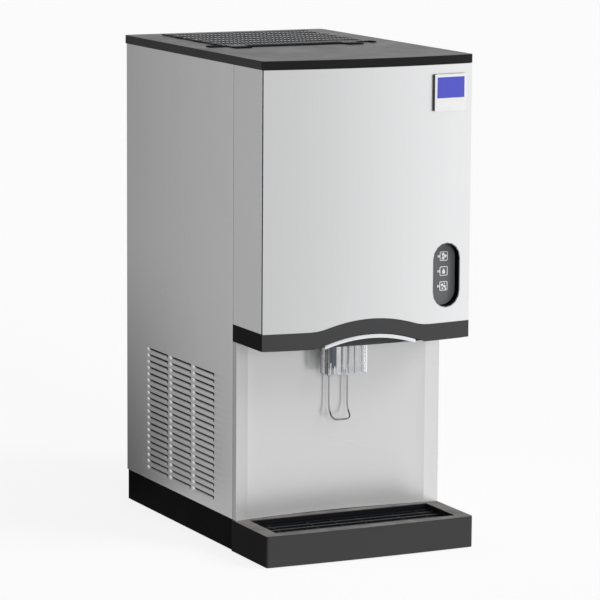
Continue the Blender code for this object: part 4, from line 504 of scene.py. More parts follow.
# Each solid's finish, and how wide its edges are rounded
NODE_FINISHES = (
    (DOOR_STEEL, 0.0004, ("front_panel",)),
    (CHEEK_STEEL, 0.0003, ("left_cheek", "right_cheek")),
    (SIDE_STEEL, 0.0003, ("left_side_panel", "right_side_panel", "rear_panel")),
    (SPLASH_STEEL, 0.0003, ("splash_panel",)),
    (COVER_BLACK, 0.0009, ("top_cover",)),
    (BAND_BLACK, 0.0005, ("band_trim",)),
    (TRAY_BLACK, 0.0009, ("drip_tray",)),
    (BASE_BLACK, 0.0006, ("base_pan",)),
    (PANEL_GREY, 0.0002, ("control_panel", "key_ice", "key_water", "key_both")),
    (DEEP_BLACK, 0.0004, ("ceiling_plate", "lever_hub", "micro_switch", "fan_blades", "cord_gland")),
    (RUBBER, 0.0006, ("left_foot_runner", "right_foot_runner", "compressor_mount")),
    (SHELL_BLACK, 0.0, ("compressor", "auger_gearmotor")),
    (BRIGHT_STRIP, 0.0, ("arc_strip",)),
    (ZINC, 0.0003, ("lever_bracket", "chassis_shelf", "electrical_box", "fan_shroud", "fan_motor",
                    "dispense_motor", "auger", "extruder_head")),
    (FOOD_WHITE, 0.0006, ("ice_bin", "bin_lid", "dispense_wheel", "evaporator_barrel", "water_reservoir",
                          "float_arm", "ice_transfer_tube", "switch_plunger", "drain_pipe", "water_line")),
    (COPPER, 0.0, ("discharge_line", "liquid_line", "suction_line", "filter_drier")),
    (BRASS, 0.0003, ("water_inlet", "float_valve")),
    (LAMINATE, 0.0002, ("control_board", "key_board")),
    (FINS, 0.0003, ("condenser_coil",)),
)


def weld_group():
    """Geometry group that drops the stored normals, welds the loose triangles and shades them smooth up to an
    angle."""
    group = bpy.data.node_groups.new("welded_solid", "GeometryNodeTree")
    for side in ("INPUT", "OUTPUT"):
        group.interface.new_socket("Geometry", in_out=side, socket_type="NodeSocketGeometry")
    angle = add_node(group, "GeometryNodeInputMeshEdgeAngle").outputs["Unsigned Angle"]
    sharp = math_node(group, "GREATER_THAN", angle, math.radians(SMOOTH_UP_TO))
    solid = add_node(group, "NodeGroupInput").outputs[0]
    for kind, inputs, settings in (
            ("RemoveAttribute", {"Name": "custom_normal"}, {}),
            ("MergeByDistance", {"Distance": WELD_WITHIN}, {}),
            ("SetShadeSmooth", {}, {}),
            ("SetShadeSmooth", {"Selection": sharp, "Shade Smooth": False}, {"domain": "EDGE"})):
        solid = add_node(group, "GeometryNode" + kind, {"Geometry": solid, **inputs}, **settings).outputs[0]
    feed(add_node(group, "NodeGroupOutput"), {0: solid})
    return group


WELDED = weld_group()


def dress_solids():
    """Gives each shown solid its finish, welds it and rounds its edges."""
    for finish, edge, names in NODE_FINISHES:
        for name in names:
            solid = NODES[name]
            solid.data.materials.clear()
            solid.data.materials.append(finish)
            weld = solid.modifiers.new("welded", "NODES")
            weld.node_group = WELDED
            if edge:
                flat = solid.modifiers.new("flat faces joined", "DECIMATE")
                flat.decimate_type = "DISSOLVE"
                flat.angle_limit = math.radians(FLAT_WITHIN)
                round_edges(solid, edge)


# Pieces that are finer than their solids

FINE_EDGE = 0.0003

LOUVRE_FRONT = -0.0897
LOUVRE_LENGTH = 0.0958
LOUVRE_COLUMN_PITCH = 0.10403
LOUVRE_COLUMNS = 3
LOUVRE_ROWS = 20
LOUVRE_FOOT = 0.0772
LOUVRE_PITCH = 0.01187
LOUVRE_RISE = 0.0086
LOUVRE_POWER = 1.4
LOUVRE_PRESS = 0.0034
LOUVRE_SLIT = 0.0038
LOUVRE_END = 0.0100
LOUVRE_END_STEPS = np.array([0, 0.06, 0.14, 0.26, 0.42, 0.6, 0.8, 1.0])
REAR_STEEPNESS = 1.3
# Places along the slit in lengths of an end, and how much wider it is at the front
SLIT_START = 0.06
SLIT_REAR = (0.26, 0.60)
SLIT_FLARE = 0.75
SLIT_FLARE_END = 1.05
SLIT_FLARE_FADE = 0.25
SHEET_MARGIN = 0.0004
SIDE_SHEET = 0.0009
SIDE_FOLD = 0.001
FOLD_INSET = 0.0001


def louvred_skin():
    """Outer skin of the left side: a sheet pressed inward in rows of scoops, cut along their tops. The press
    at a place is its full depth, times a sine step in from each end, times the place up the scoop to a power.
    The scoop's lip also ends a slit's width below the sheet above it: wider and at once at its front end, and
    later at its rear. Plain folds close the skin's four edges."""
    low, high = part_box("left_side_panel")
    margin = SHEET_MARGIN
    ends = LOUVRE_END_STEPS * LOUVRE_END
    middle = np.linspace(LOUVRE_END, LOUVRE_LENGTH - LOUVRE_END, 6)[1:-1]
    across = np.concatenate([ends, middle, LOUVRE_LENGTH - ends[::-1]])
    front, rear = across / LOUVRE_END, (LOUVRE_LENGTH - across) / LOUVRE_END
    step = np.sin(QUARTER * np.clip(np.minimum(front, rear * REAR_STEEPNESS), 0, 1))
    cut = np.clip(np.minimum(front / SLIT_START, (rear - SLIT_REAR[0]) / (SLIT_REAR[1] - SLIT_REAR[0])), 0, 1)
    cut *= 1 + SLIT_FLARE * np.clip((SLIT_FLARE_END - front) / SLIT_FLARE_FADE, 0, 1)
    depth_share, cut_share = (np.pad(np.tile(np.pad(share, 1), LOUVRE_COLUMNS), 2) for share in (step, cut))
    starts = LOUVRE_FRONT + LOUVRE_COLUMN_PITCH * np.arange(LOUVRE_COLUMNS)[:, None]
    columns = starts + [-margin, *across, LOUVRE_LENGTH + margin]
    y = np.array([low.y, low.y + margin, *columns.ravel(), high.y - margin, high.y])
    up = np.linspace(0, 1, 8)
    press = np.pad(np.tile([*(up ** LOUVRE_POWER), 0.0, 0.0], LOUVRE_ROWS), (3, 2))[:, None]
    feet = LOUVRE_FOOT + LOUVRE_PITCH * np.arange(LOUVRE_ROWS)[:, None]
    rows = feet + [*(LOUVRE_RISE * up), LOUVRE_RISE, LOUVRE_RISE + margin]
    z = np.array([low.z, low.z + margin, LOUVRE_FOOT - margin, *rows.ravel(), high.z - margin, high.z])
    points = np.empty((len(z), len(y), 3))
    points[..., 0] = low.x + LOUVRE_PRESS * press * depth_share
    points[..., 1] = y
    points[..., 2] = z[:, None] - LOUVRE_SLIT * press * cut_share
    faces = grid_faces(len(z), len(y))
    lips = 2 + len(up) + rows.shape[1] * np.arange(LOUVRE_ROWS)
    faces = faces[~np.isin(faces[:, 0] // len(y), lips)]
    skin = new_piece("left_side_skin", points, faces, SIDE_STEEL, "housing", crease=50, outward=False)
    wall = skin.modifiers.new("sheet", "SOLIDIFY")
    wall.thickness = SIDE_SHEET
    wall.offset = -1.0
    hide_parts("left_side_panel")
    for name, *sides in (("rear", high.y - SIDE_FOLD, high.y, low.z, high.z),
                         ("front", low.y, low.y + SIDE_FOLD, low.z, high.z),
                         ("low", low.y, high.y, low.z, low.z + SIDE_FOLD),
                         ("top", low.y, high.y, high.z - SIDE_FOLD, high.z)):
        fold = slabs(f"left_side_{name}_fold", [rectangle(*sides)], low.x + FOLD_INSET, high.x, SIDE_STEEL,
                     "housing", "X", FINE_EDGE)


SLATS = 5
SLAT_WIDTH = 0.0072
SLAT_ROUND = 0.0009
CROSS_WIRES = (-0.150, -0.075, -0.027, 0.022, 0.098, 0.146)
CROSS_RADIUS = 0.0013
WIRE_INSET = 0.001
SIDE_FRAME = 0.0022


def drip_slats():
    """Flat slats across the tray with rounded upper edges, over a few thin cross wires, inside a slim frame.
    A slat is its section carried along X: a flat top between two quarter circles, and upright sides."""
    low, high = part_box("drip_grille")
    pitch = (high.y - low.y - SIDE_FRAME) / SLATS
    half, turn = SLAT_WIDTH / 2, np.linspace(0, QUARTER, 5)
    right = np.stack([half - SLAT_ROUND + SLAT_ROUND * np.cos(turn),
                      high.z - SLAT_ROUND + SLAT_ROUND * np.sin(turn)], axis=1)
    section = np.concatenate([right, right[::-1] * [-1, 1], [(-half, low.z), (half, low.z)]])
    sections = [section + [low.y + SIDE_FRAME + pitch * (k + 0.5), 0] for k in range(SLATS)]
    slats = slabs("drip_slats", sections, low.x, high.x, SLAT_BLACK, "tray_grille", "X")
    for i, x in enumerate(CROSS_WIRES):
        route = [(x, y, high.z - WIRE_INSET) for y in (low.y + WIRE_INSET, high.y - WIRE_INSET)]
        tube(f"drip_cross_wire_{i}", route, CROSS_RADIUS, SLAT_BLACK, "tray_grille", sides=10)
    outer, inner = (rectangle(low.x, high.x, low.y, high.y, inset) for inset in (0.0, SIDE_FRAME / 2))
    frame_edge = wall_between("drip_frame", outer, inner, low.z, high.z, SLAT_BLACK, "tray_grille")
    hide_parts("drip_grille")


BASIN = (-0.177975, 0.177975, -0.2977, -0.1862)
BASIN_LEDGE = 0.0457
BASIN_TOP = 0.0566
BASIN_SKIN = 0.0004


def basin_shade_lining():
    """Painted shade on the tray's four inner walls: a dark lining, a thin wall between two rectangles, from
    ledge to rim.
    """
    outer, inner = (rectangle(*BASIN, inset) for inset in (0.0, BASIN_SKIN))
    lining = wall_between("basin_shade_lining", outer, inner, BASIN_LEDGE, BASIN_TOP, BASIN_SHADE_BLACK, "housing")


ARCH_HALF = 0.1075
ARCH_RISE = 0.0222
STRIP_HALF = 0.0893
STRIP_HEIGHT = 0.0084
STRIP_NOSE = 0.0022
STRIP_DEPTH = 0.0110


def arched_strip():
    """Bright bar under the arch: a half-round nose with a flat back, carried across on the band's bow and
    along the parabola of the arch."""
    band_low, band_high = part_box("band_trim")
    radius = STRIP_HEIGHT / 2
    turn = np.linspace(QUARTER, 3 * QUARTER, 13)
    nose = np.stack([STRIP_NOSE + STRIP_NOSE * np.cos(turn), radius * np.sin(turn)], axis=1)
    section = np.concatenate([nose, [(STRIP_DEPTH, -radius), (STRIP_DEPTH, radius)]])
    x = np.linspace(-STRIP_HALF, STRIP_HALF, 61)[:, None]
    points = np.empty((len(x), len(section), 3))
    points[..., 0] = x
    points[..., 1] = bowed_y(x, (band_high.x - band_low.x) / 2) + section[:, 0]
    points[..., 2] = band_low.z + ARCH_RISE * (1 - (x / ARCH_HALF) ** 2) - GAP - radius + section[:, 1]
    faces = capped_faces(*points.shape[:2])
    strip = new_piece("arched_strip", points, faces, BRIGHT_STRIP, "housing", crease=50)
    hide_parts("arc_strip")


WIRE_RADIUS = 0.0015
WIRE_BEND = 0.247
WIRE_FILLET = 0.012


def lever_wire():
    """Round wire on a route through the lever's corners: two upright legs and a foot that leans forward."""
    low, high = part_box("wire_lever")
    half, back = high.x - WIRE_RADIUS, high.y - WIRE_RADIUS
    leg = [(half, back, high.z), (half, back, WIRE_BEND), (half, low.y + WIRE_RADIUS, low.z + WIRE_RADIUS)]
    route = filleted([(-x, y, z) for x, y, z in leg] + leg[::-1], WIRE_FILLET, steps=14)
    wire = tube("lever_loop_wire", route, WIRE_RADIUS, LEVER_WIRE, "lever", sides=16)
    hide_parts("wire_lever")


FLUTES = 9
FLUTE_DEPTH = 0.0009
FLUTE_FADE = 0.006
CHUTE_BOW = 0.009
CHUTE_WALL = 0.0026
CHUTE_POINTS = 240


def chute_outline():
    """Plan of the chute, anticlockwise: a bowed front of the fourth power, straight sides and back, and round
    corners got by averaging neighbours along the outline."""
    low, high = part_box("ice_chute")
    half, side_front = high.x, low.y + CHUTE_BOW
    x = np.linspace(-half, half, 120)
    front = np.column_stack([x, side_front - CHUTE_BOW * (1 - (np.abs(x) / half) ** 4)])
    path = np.concatenate([front, [(half, high.y), (-half, high.y)]])
    lengths = np.concatenate([[0], np.cumsum(np.linalg.norm(np.roll(path, -1, axis=0) - path, axis=1))])
    wanted = np.linspace(0, lengths[-1], CHUTE_POINTS, endpoint=False)
    closed = np.concatenate([path, path[:1]])
    plan = np.column_stack([np.interp(wanted, lengths, closed[:, k]) for k in (0, 1)])
    for _ in range(6):
        plan = (np.roll(plan, 1, axis=0) + 2 * plan + np.roll(plan, -1, axis=0)) / 4
    return plan


def outward_of(outline):
    """Unit directions square to a closed outline that runs anticlockwise, pointing out of it."""
    ahead = np.roll(outline, -1, axis=0) - np.roll(outline, 1, axis=0)
    ahead /= np.linalg.norm(ahead, axis=1)[:, None]
    return np.stack([ahead[:, 1], -ahead[:, 0]], axis=1)


def fluted_chute():
    """Clear chute: its outside is the plan with shallow upright flutes across the front and sides, a cosine
    of the place across; its inside is the plan moved in by the wall."""
    low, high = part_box("ice_chute")
    plan = chute_outline()
    out = outward_of(plan)
    x, y = plan.T
    depth = FLUTE_DEPTH * np.clip((y.max() - y) / FLUTE_FADE, 0, 1)
    wave = depth * 0.5 * (1 - np.cos(2 * math.pi * FLUTES * (x - x.min()) / np.ptp(x)))
    chute = wall_between("fluted_chute", plan - out * wave[:, None], plan - out * CHUTE_WALL, low.z, high.z,
                         CLEAR_CHUTE, "housing")
    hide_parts("ice_chute")


# Painted reflections: the ribs stand in for the light and dark bands that the clear chute shows
# Ribs seen through the chute: left, right, depth behind its nose, foot, head (or 0 for the top) and finish
CHUTE_RIBS = (
    (-0.0368, -0.0236, 0.0062, 0.0130, 0, SMOKY_REFLECTION_RIB), (-0.0356, -0.0328, 0.0058, 0.0020, 0.0230, PALE_REFLECTION_RIB),
    (-0.0312, -0.0302, 0.0058, 0.0020, 0.0140, GREY_REFLECTION_RIB), (-0.0286, -0.0258, 0.0058, 0.0020, 0.017, PALE_REFLECTION_RIB),
    (-0.0236, -0.0150, 0.0060, 0.0015, 0, PALE_REFLECTION_RIB), (-0.0136, -0.0122, 0.0056, 0.0040, 0, GREY_REFLECTION_RIB),
    (-0.0104, -0.0030, 0.0068, 0.0100, 0, PALE_REFLECTION_RIB), (-0.0012, 0.0004, 0.0056, 0.0040, 0, GREY_REFLECTION_RIB),
    (0.0010, 0.0094, 0.0060, 0.0015, 0, PALE_REFLECTION_RIB), (0.0112, 0.0124, 0.0060, 0.0010, 0, DARK_REFLECTION_RIB),
    (0.0134, 0.0238, 0.0060, 0.0010, 0, PALE_REFLECTION_RIB), (0.0248, 0.0256, 0.0060, 0.0030, 0, GREY_REFLECTION_RIB),
    (0.0270, 0.0376, 0.0060, 0.0010, 0, PALE_REFLECTION_RIB),
)
# Webs along its left wall: front and back behind its nose, and finish
CHUTE_WEBS = ((0.0110, 0.0150, PALE_REFLECTION_RIB), (0.0160, 0.0235, DARK_REFLECTION_RIB), (0.0245, 0.0320, PALE_REFLECTION_RIB))
WEB_INSET = 0.0034
WEB_FOOT = 0.0012
RIB_SHEET = 0.0008
RIB_CLEARANCE = 0.001


def chute_ribs():
    """Upright strips inside the clear chute, painted reflections of its light and dark bands: flat strips
    behind its bowed front, some dark and some pale, and a dark web along its left wall between two pale ones."""
    low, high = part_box("ice_chute")
    top = high.z - RIB_CLEARANCE
    for k, (left, right, back, foot, head, finish) in enumerate(CHUTE_RIBS):
        outline = rectangle(left, right, low.y + back, low.y + back + RIB_SHEET)
        end = low.z + head if head else top
        rib = slabs(f"chute_rib_{k}", [outline], low.z + foot, end, finish, "housing")
    x = low.x + WEB_INSET
    for k, (front, back, finish) in enumerate(CHUTE_WEBS):
        outline = rectangle(x, x + RIB_SHEET, low.y + front, low.y + back)
        web = slabs(f"chute_web_{k}", [outline], low.z + WEB_FOOT, top, finish, "housing")


SPOUT_HALF = 0.0075
SPOUT_CORNER = 0.0025
SPOUT_BORE_HALF = 0.0052
SPOUT_BORE_CORNER = 0.0015


def water_spout():
    """Clear spout inside the chute: a square with round corners, and hollow."""
    low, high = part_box("water_nozzle")
    outer, inner = (rounded_square(0.0, low.y + SPOUT_HALF, half, half, corner)
                    for half, corner in ((SPOUT_HALF, SPOUT_CORNER), (SPOUT_BORE_HALF, SPOUT_BORE_CORNER)))
    spout = wall_between("water_spout", outer, inner, low.z, high.z, CLEAR_CHUTE, "housing")
    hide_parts("water_nozzle")


def door_plate(name, low_x, high_x, low_z, high_z, corner, lift, depth, finish):
    """Plate that follows the door's bow: at each place across, its front is a lift ahead of the door's
    parabola, and its top and bottom fall back by a quarter circle at the corners. Columns of four points are
    joined round."""
    near = low_x + corner * (1 - np.cos(np.linspace(0, QUARTER, 6)))
    middle = np.linspace(low_x + corner, high_x - corner, 14)[1:-1]
    x = np.concatenate([near, middle, (low_x + high_x - near)[::-1]])
    edge = np.minimum(x - low_x, high_x - x)
    dip = corner - np.sqrt(np.clip(corner ** 2 - np.clip(corner - edge, 0, None) ** 2, 0, None))
    front, back = bowed_y(x) - lift, bowed_y(x) - lift + depth
    rows = ((front, high_z - dip), (front, low_z + dip), (back, low_z + dip), (back, high_z - dip))
    points = np.stack([np.column_stack([x, y, z]) for y, z in rows], axis=1)
    return new_piece(name, points, capped_faces(len(x), 4), finish, "housing", crease=30)


BADGE_SHIFT = (-0.0015, 0.0011)
# The badge's layers: margins at left, right, foot and head, corner, front ahead of the door, depth and finish
BADGE_LAYERS = (
    ("badge_backing", (0.0, 0.0004, 0.0, 0.0), 0.0020, 0.0042, 0.0038, DEEP_BLACK),
    ("badge_plate_face", (0.0002, 0.0004, 0.0, 0.0), 0.0020, 0.0053, 0.0012, BADGE_WHITE),
    ("badge_field", (0.0048, 0.0056, 0.0229, 0.0053), 0.0003, 0.0054, 0.0005, BADGE_BLUE),
)


def badge():
    """Bare badge: a dark backing, a white plate on it and a plain blue field, all on the door's bow."""
    low, high = (end + Vector((BADGE_SHIFT[0], 0, BADGE_SHIFT[1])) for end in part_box("badge_plate"))
    for name, (left, right, foot, head), *form in BADGE_LAYERS:
        door_plate(name, low.x + left, high.x - right, low.z + foot, high.z - head, *form)
    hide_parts("badge_plate")


OVAL_RADIUS = 0.029
OVAL_STRAIGHT = 0.0586
CUP_WALL = 0.0015
LINING_WALL = 0.0005
LINING_GAP = 0.0001
LINING_BACK = 0.0008
FACE_Y = -0.2807


def oval_outline(x, z, radius, straight):
    """Two half circles joined by straight sides, anticlockwise from the lower right."""
    turn = np.linspace(0, math.pi, 40)
    upper = np.column_stack([radius * np.cos(turn), straight / 2 + radius * np.sin(turn)])
    return np.concatenate([upper, -upper]) + [x, z]


def control_recess():
    """Painted shade round the control face: a dark lining, two ovals a wall apart, from just behind the
    door's bowed front back to the face."""
    low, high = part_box("control_panel")
    radius = OVAL_RADIUS - GAP - CUP_WALL - LINING_GAP
    outer, inner = (oval_outline((low.x + high.x) / 2, (low.z + high.z) / 2, radius - wall, OVAL_STRAIGHT)
                    for wall in (0.0, LINING_WALL))
    far = FACE_Y - LINING_GAP
    near_outer, near_inner = (bowed_y(oval[:, 0]) + LINING_BACK for oval in (outer, inner))
    rings = ((outer, far), (outer, near_outer), (inner, near_inner), (inner, far))
    lining = ringed_wall("control_recess_shade_lining", rings, PAINTED_SHADE_BLACK, "housing", "Y")


PRINT_HALF = 0.00012
PRINT_SHIFT = 0.0008
FRAME_HALF = (0.0080, 0.0084)
FRAME_CORNER = 0.0022
FRAME_LINE = 0.0014
LENS_HALF = (0.0011, 0.0025)
LENS_INSET = 0.0011
LAMP_OUTSET = 0.0015
# Signs on the keys: node, body, cubes as place, half size and turn, and drops as place and half height
KEY_SIGNS = (
    ("key_ice", "ice_key", ((-0.0014, 0.0034, 0.0026, 0.3), (0.0030, 0.0002, 0.0025, -0.5),
                            (-0.0014, -0.0034, 0.0025, 0.9)), ()),
    ("key_water", "water_key", (), ((0.0, 0.0, 0.0050),)),
    ("key_both", "both_key", ((-0.0026, 0.0018, 0.0023, 0.4), (0.0022, -0.0008, 0.0022, -0.4),
                              (-0.0022, -0.0042, 0.0015, 0.2), (0.0020, 0.0046, 0.0011, 0.8)),
     ((0.0040, -0.0044, 0.0024),)),
)


def drop_outline(x, z, size):
    """Water drop: a circle drawn up to a point. Its height is cos(t), and its width 0.85 sin(t) times
    sin(t/2) to the power 1.4."""
    turn = np.linspace(0, 2 * math.pi, 28, endpoint=False)
    width = 0.85 * np.sin(turn) * np.sin(turn / 2) ** 1.4
    return np.column_stack([x + size * width, z + size * np.cos(turn)])


def cube_outline(x, z, size, angle):
    """A small square turned by an angle."""
    corners = rounded_square(0, 0, size, size, corner=size / 5, steps=3)
    cos, sin = math.cos(angle), math.sin(angle)
    return corners @ np.array([[cos, sin], [-sin, cos]]) + np.array([x, z])


def key_prints():
    """White frames and plain signs on the keys: cubes for ice, a drop for water, both for both, and beside
    each frame its lamp: one half on the key and the other on the face. They reach from ahead of the front
    that they are on to behind it."""
    for node, body, cubes, drops in KEY_SIGNS:
        low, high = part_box(node)
        x, z = (low.x + high.x) / 2 + PRINT_SHIFT, (low.z + high.z) / 2
        near, far = low.y - PRINT_HALF, low.y + PRINT_HALF
        outer, inner = (rounded_square(x, z, FRAME_HALF[0] - line, FRAME_HALF[1] - line, FRAME_CORNER - line)
                        for line in (0.0, FRAME_LINE))
        wall_between(f"{node}_frame", outer, inner, far, near, PRINT_WHITE, body, "Y")
        marks = [cube_outline(x + right, z + up, size, angle) for right, up, size, angle in cubes]
        marks += [drop_outline(x + right, z + up, size) for right, up, size in drops]
        slabs(f"{node}_sign", marks, near, far, PRINT_WHITE, body, "Y")
        turn = np.linspace(0, 2 * math.pi, 20, endpoint=False)
        for kind, middle, front, carrier in (("lens", low.x + LENS_INSET, low.y, body),
                                             ("lamp", low.x - LAMP_OUTSET, FACE_Y, "housing")):
            lens = np.column_stack([middle + LENS_HALF[0] * np.cos(turn), z + LENS_HALF[1] * np.sin(turn)])
            near, far = front - PRINT_HALF, front + PRINT_HALF
            slabs(f"{node}_{kind}", [lens], near, far, PRINT_WHITE, carrier, "Y")


VENT_PITCH = 0.0078
VENT_ROW = 0.0430
VENT_WEB_SHARE = 0.90
VENT_SHEET = (-0.1435, 0.1455, 0.0055, 0.2860)
VENT_THICKNESS = 0.0016
VENT_ROUND = 0.0002
VENT_WALL = 0.0014
# How far below the grille's top the sheet, the rim of its holes and its wall lie
VENT_DROPS = (0.0001, 0.0004, 0.0003)
# Slabs round the sheet: kind, drop below the top, finish, and each place as left, right, front and back
VENT_SLABS = (
    ("tab", 0.0004, DEEP_BLACK, ((-0.1380, -0.1060, -0.0165, 0.0062), (0.0880, 0.1190, -0.0160, 0.0062))),
    # painted shade: the ears and lips stand in for the shadowed gap along the grille's front
    ("ear", 0.0008, PAINTED_SHADE_BLACK, ((-0.1725, -0.1440, 0.0000, 0.0210), (0.1470, 0.1590, -0.0060, 0.0135))),
    ("lip", 0.0010, PAINTED_SHADE_BLACK, ((-0.1060, 0.0880, -0.0160, 0.0055), (-0.1380, -0.1060, -0.0350, -0.0165),
                                  (0.0880, 0.1190, -0.0340, -0.0160))),
    ("bar", 0.0005, GRILLE_BLACK, ((-0.1425, 0.1445, 0.0065, 0.0245), (-0.1425, 0.1445, 0.2670, 0.2850))),
)


def vent_cells():
    """Centres of the staggered cells and one cell's two rings: its hexagon, and its hole with twelve sides. A
    ring's point k is its radius at angle k, stretched along Y to the distance between rows."""
    left, right, front, back = VENT_SHEET
    rows, cols = int((back - front) // VENT_ROW), int((right - left) // VENT_PITCH)
    i, j = np.meshgrid(np.arange(cols), np.arange(rows))
    shift = np.where(j % 2, 0.25, -0.25)
    centres = np.stack([(left + right) / 2 + (i - (cols - 1) / 2 + shift) * VENT_PITCH,
                        (front + back) / 2 + (j - (rows - 1) / 2) * VENT_ROW], axis=2).reshape(-1, 2)
    side = np.arange(12)
    angle = side * math.pi / 6 + QUARTER
    corner, flat = VENT_PITCH / math.sqrt(3), VENT_PITCH / 2
    stretch = VENT_ROW / (VENT_PITCH * math.sqrt(3) / 2)
    unit = np.stack([np.cos(angle), stretch * np.sin(angle)], axis=1)
    return centres, unit, np.where(side % 2 == 0, corner, flat)[:, None], flat * VENT_WEB_SHARE


def vent_grille():
    """Punched sheet over the top cover: long hexagon cells in staggered rows, each a ring between its hexagon
    and its hole, carried down through the sheet, whose holes are painted shade inside. A low wall, two tabs
    and two ears stand round it, a bar closes the rows at either end, and lips close it at the front; the ears
    and lips are painted shade for the shadowed gap there."""
    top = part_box("top_grille")[1].z
    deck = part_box("top_cover")[1].z + GAP
    sheet_drop, rim_drop, wall_drop = VENT_DROPS
    centres, unit, outer, inner = vent_cells()
    rings = ((outer, sheet_drop), (inner + VENT_ROUND, sheet_drop), (inner, rim_drop),
             (inner, VENT_THICKNESS), (outer, VENT_THICKNESS))
    # painted shade on the walls of the holes
    parts = (("vent_sheet", rings[:3], GRILLE_BLACK), ("vent_hole_shade", rings[2:], PAINTED_SHADE_BLACK))
    for name, part, finish in parts:
        cell = np.stack([lifted(unit * radius, top - drop) for radius, drop in part]).reshape(-1, 3)
        points = lifted(centres, 0.0)[:, None, :] + cell
        starts = np.arange(len(centres))[:, None, None] * len(cell)
        faces = (grid_faces(len(part), len(unit), close_cols=True) + starts).reshape(-1, 4)
        new_piece(name, points, faces, finish, "vent_grille", crease=30)
    outer, inner = (rectangle(*VENT_SHEET, inset) for inset in (0.0, VENT_WALL))
    wall_between("vent_wall", outer, inner, deck, top - wall_drop, DEEP_BLACK, "vent_grille")
    for kind, drop, finish, places in VENT_SLABS:
        for k, place in enumerate(places):
            slabs(f"vent_{kind}_{k}", [rectangle(*place)], deck, top - drop, finish,
                                "vent_grille", edge=FINE_EDGE)
    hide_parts("top_grille")


dress_solids()
louvred_skin()
drip_slats()
basin_shade_lining()
arched_strip()
lever_wire()
fluted_chute()
chute_ribs()
water_spout()
badge()
control_recess()
key_prints()
vent_grille()


# Camera and light

EYE = (-2.689, -5.5717, 1.403)
EYE_TURN = (25.84, 9.04, 0.368)
# Both in millimetres
SENSOR = 36
FOCAL_LENGTH = 204.18


def camera():
    """Long lens at the photograph's place: turned from +Y, tipped down and rolled a little."""
    yaw, pitch, roll = (math.radians(angle) for angle in EYE_TURN)
    turns = ((-yaw, "Z"), (QUARTER - pitch, "X"), (roll, "Z"))
    yawed, tipped, rolled = (Matrix.Rotation(angle, 4, axis) for angle, axis in turns)
    lens = bpy.data.cameras.new("camera")
    lens.sensor_width = SENSOR
    lens.lens = FOCAL_LENGTH
    lens.clip_start, lens.clip_end = 0.1, 100
    eye = bpy.data.objects.new("camera", lens)
    eye.matrix_world = Matrix.Translation(EYE) @ yawed @ tipped @ rolled
    bpy.context.scene.collection.objects.link(eye)
    bpy.context.scene.camera = eye


def bearing_to(bearing, height):
    """Unit vector toward a bearing, from the front round to the right, and a height, both in degrees."""
    bearing, height = math.radians(bearing), math.radians(height)
    return (math.sin(bearing) * math.cos(height), -math.cos(bearing) * math.cos(height), math.sin(height))


# Far lamps: bearing, height, energy and width in degrees
FAR_LAMPS = {"key light": (40, 36, 1.15, 24), "front fill": (-2, 9, 1.35, 18)}


def far_lamps():
    """Two broad far lamps, so that the floor is lit evenly: a key from the front and right, and a low fill
    from the front that reaches into recesses."""
    for name, (bearing, height, energy, width) in FAR_LAMPS.items():
        lamp = bpy.data.lights.new(name, "SUN")
        lamp.energy = energy
        lamp.angle = math.radians(width)
        holder = bpy.data.objects.new(name, lamp)
        away = -Vector(bearing_to(bearing, height))
        holder.matrix_world = away.to_track_quat("-Z", "Y").to_matrix().to_4x4()
        holder.visible_glossy = False
        bpy.context.scene.collection.objects.link(holder)


def mixed_shader(tree, factor, first, second):
    """The first shader at a factor of 0, and the second at 1."""
    return add_node(tree, "ShaderNodeMixShader", {0: factor, 1: first, 2: second}).outputs[0]


# Brightness of the studio's walls as gloss sees them, by bearing: 0 is in front, 90 to the right
WALLS = ((-180, 0.42), (-156, 0.50), (-130, 0.85), (-80, 1.00), (-32, 0.72), (3, 0.62), (26, 0.89),
         (50, 1.18), (90, 1.12), (135, 0.90), (156, 0.72), (180, 0.42))
# The walls' colours are halved, because a ramp ends at 1, and their strength makes up for it
WALL_STRENGTH = 2.0
SOFT_FROM = (34, 40)
SOFT_LEVEL = 1.15
SOFT_POWER = 2.5


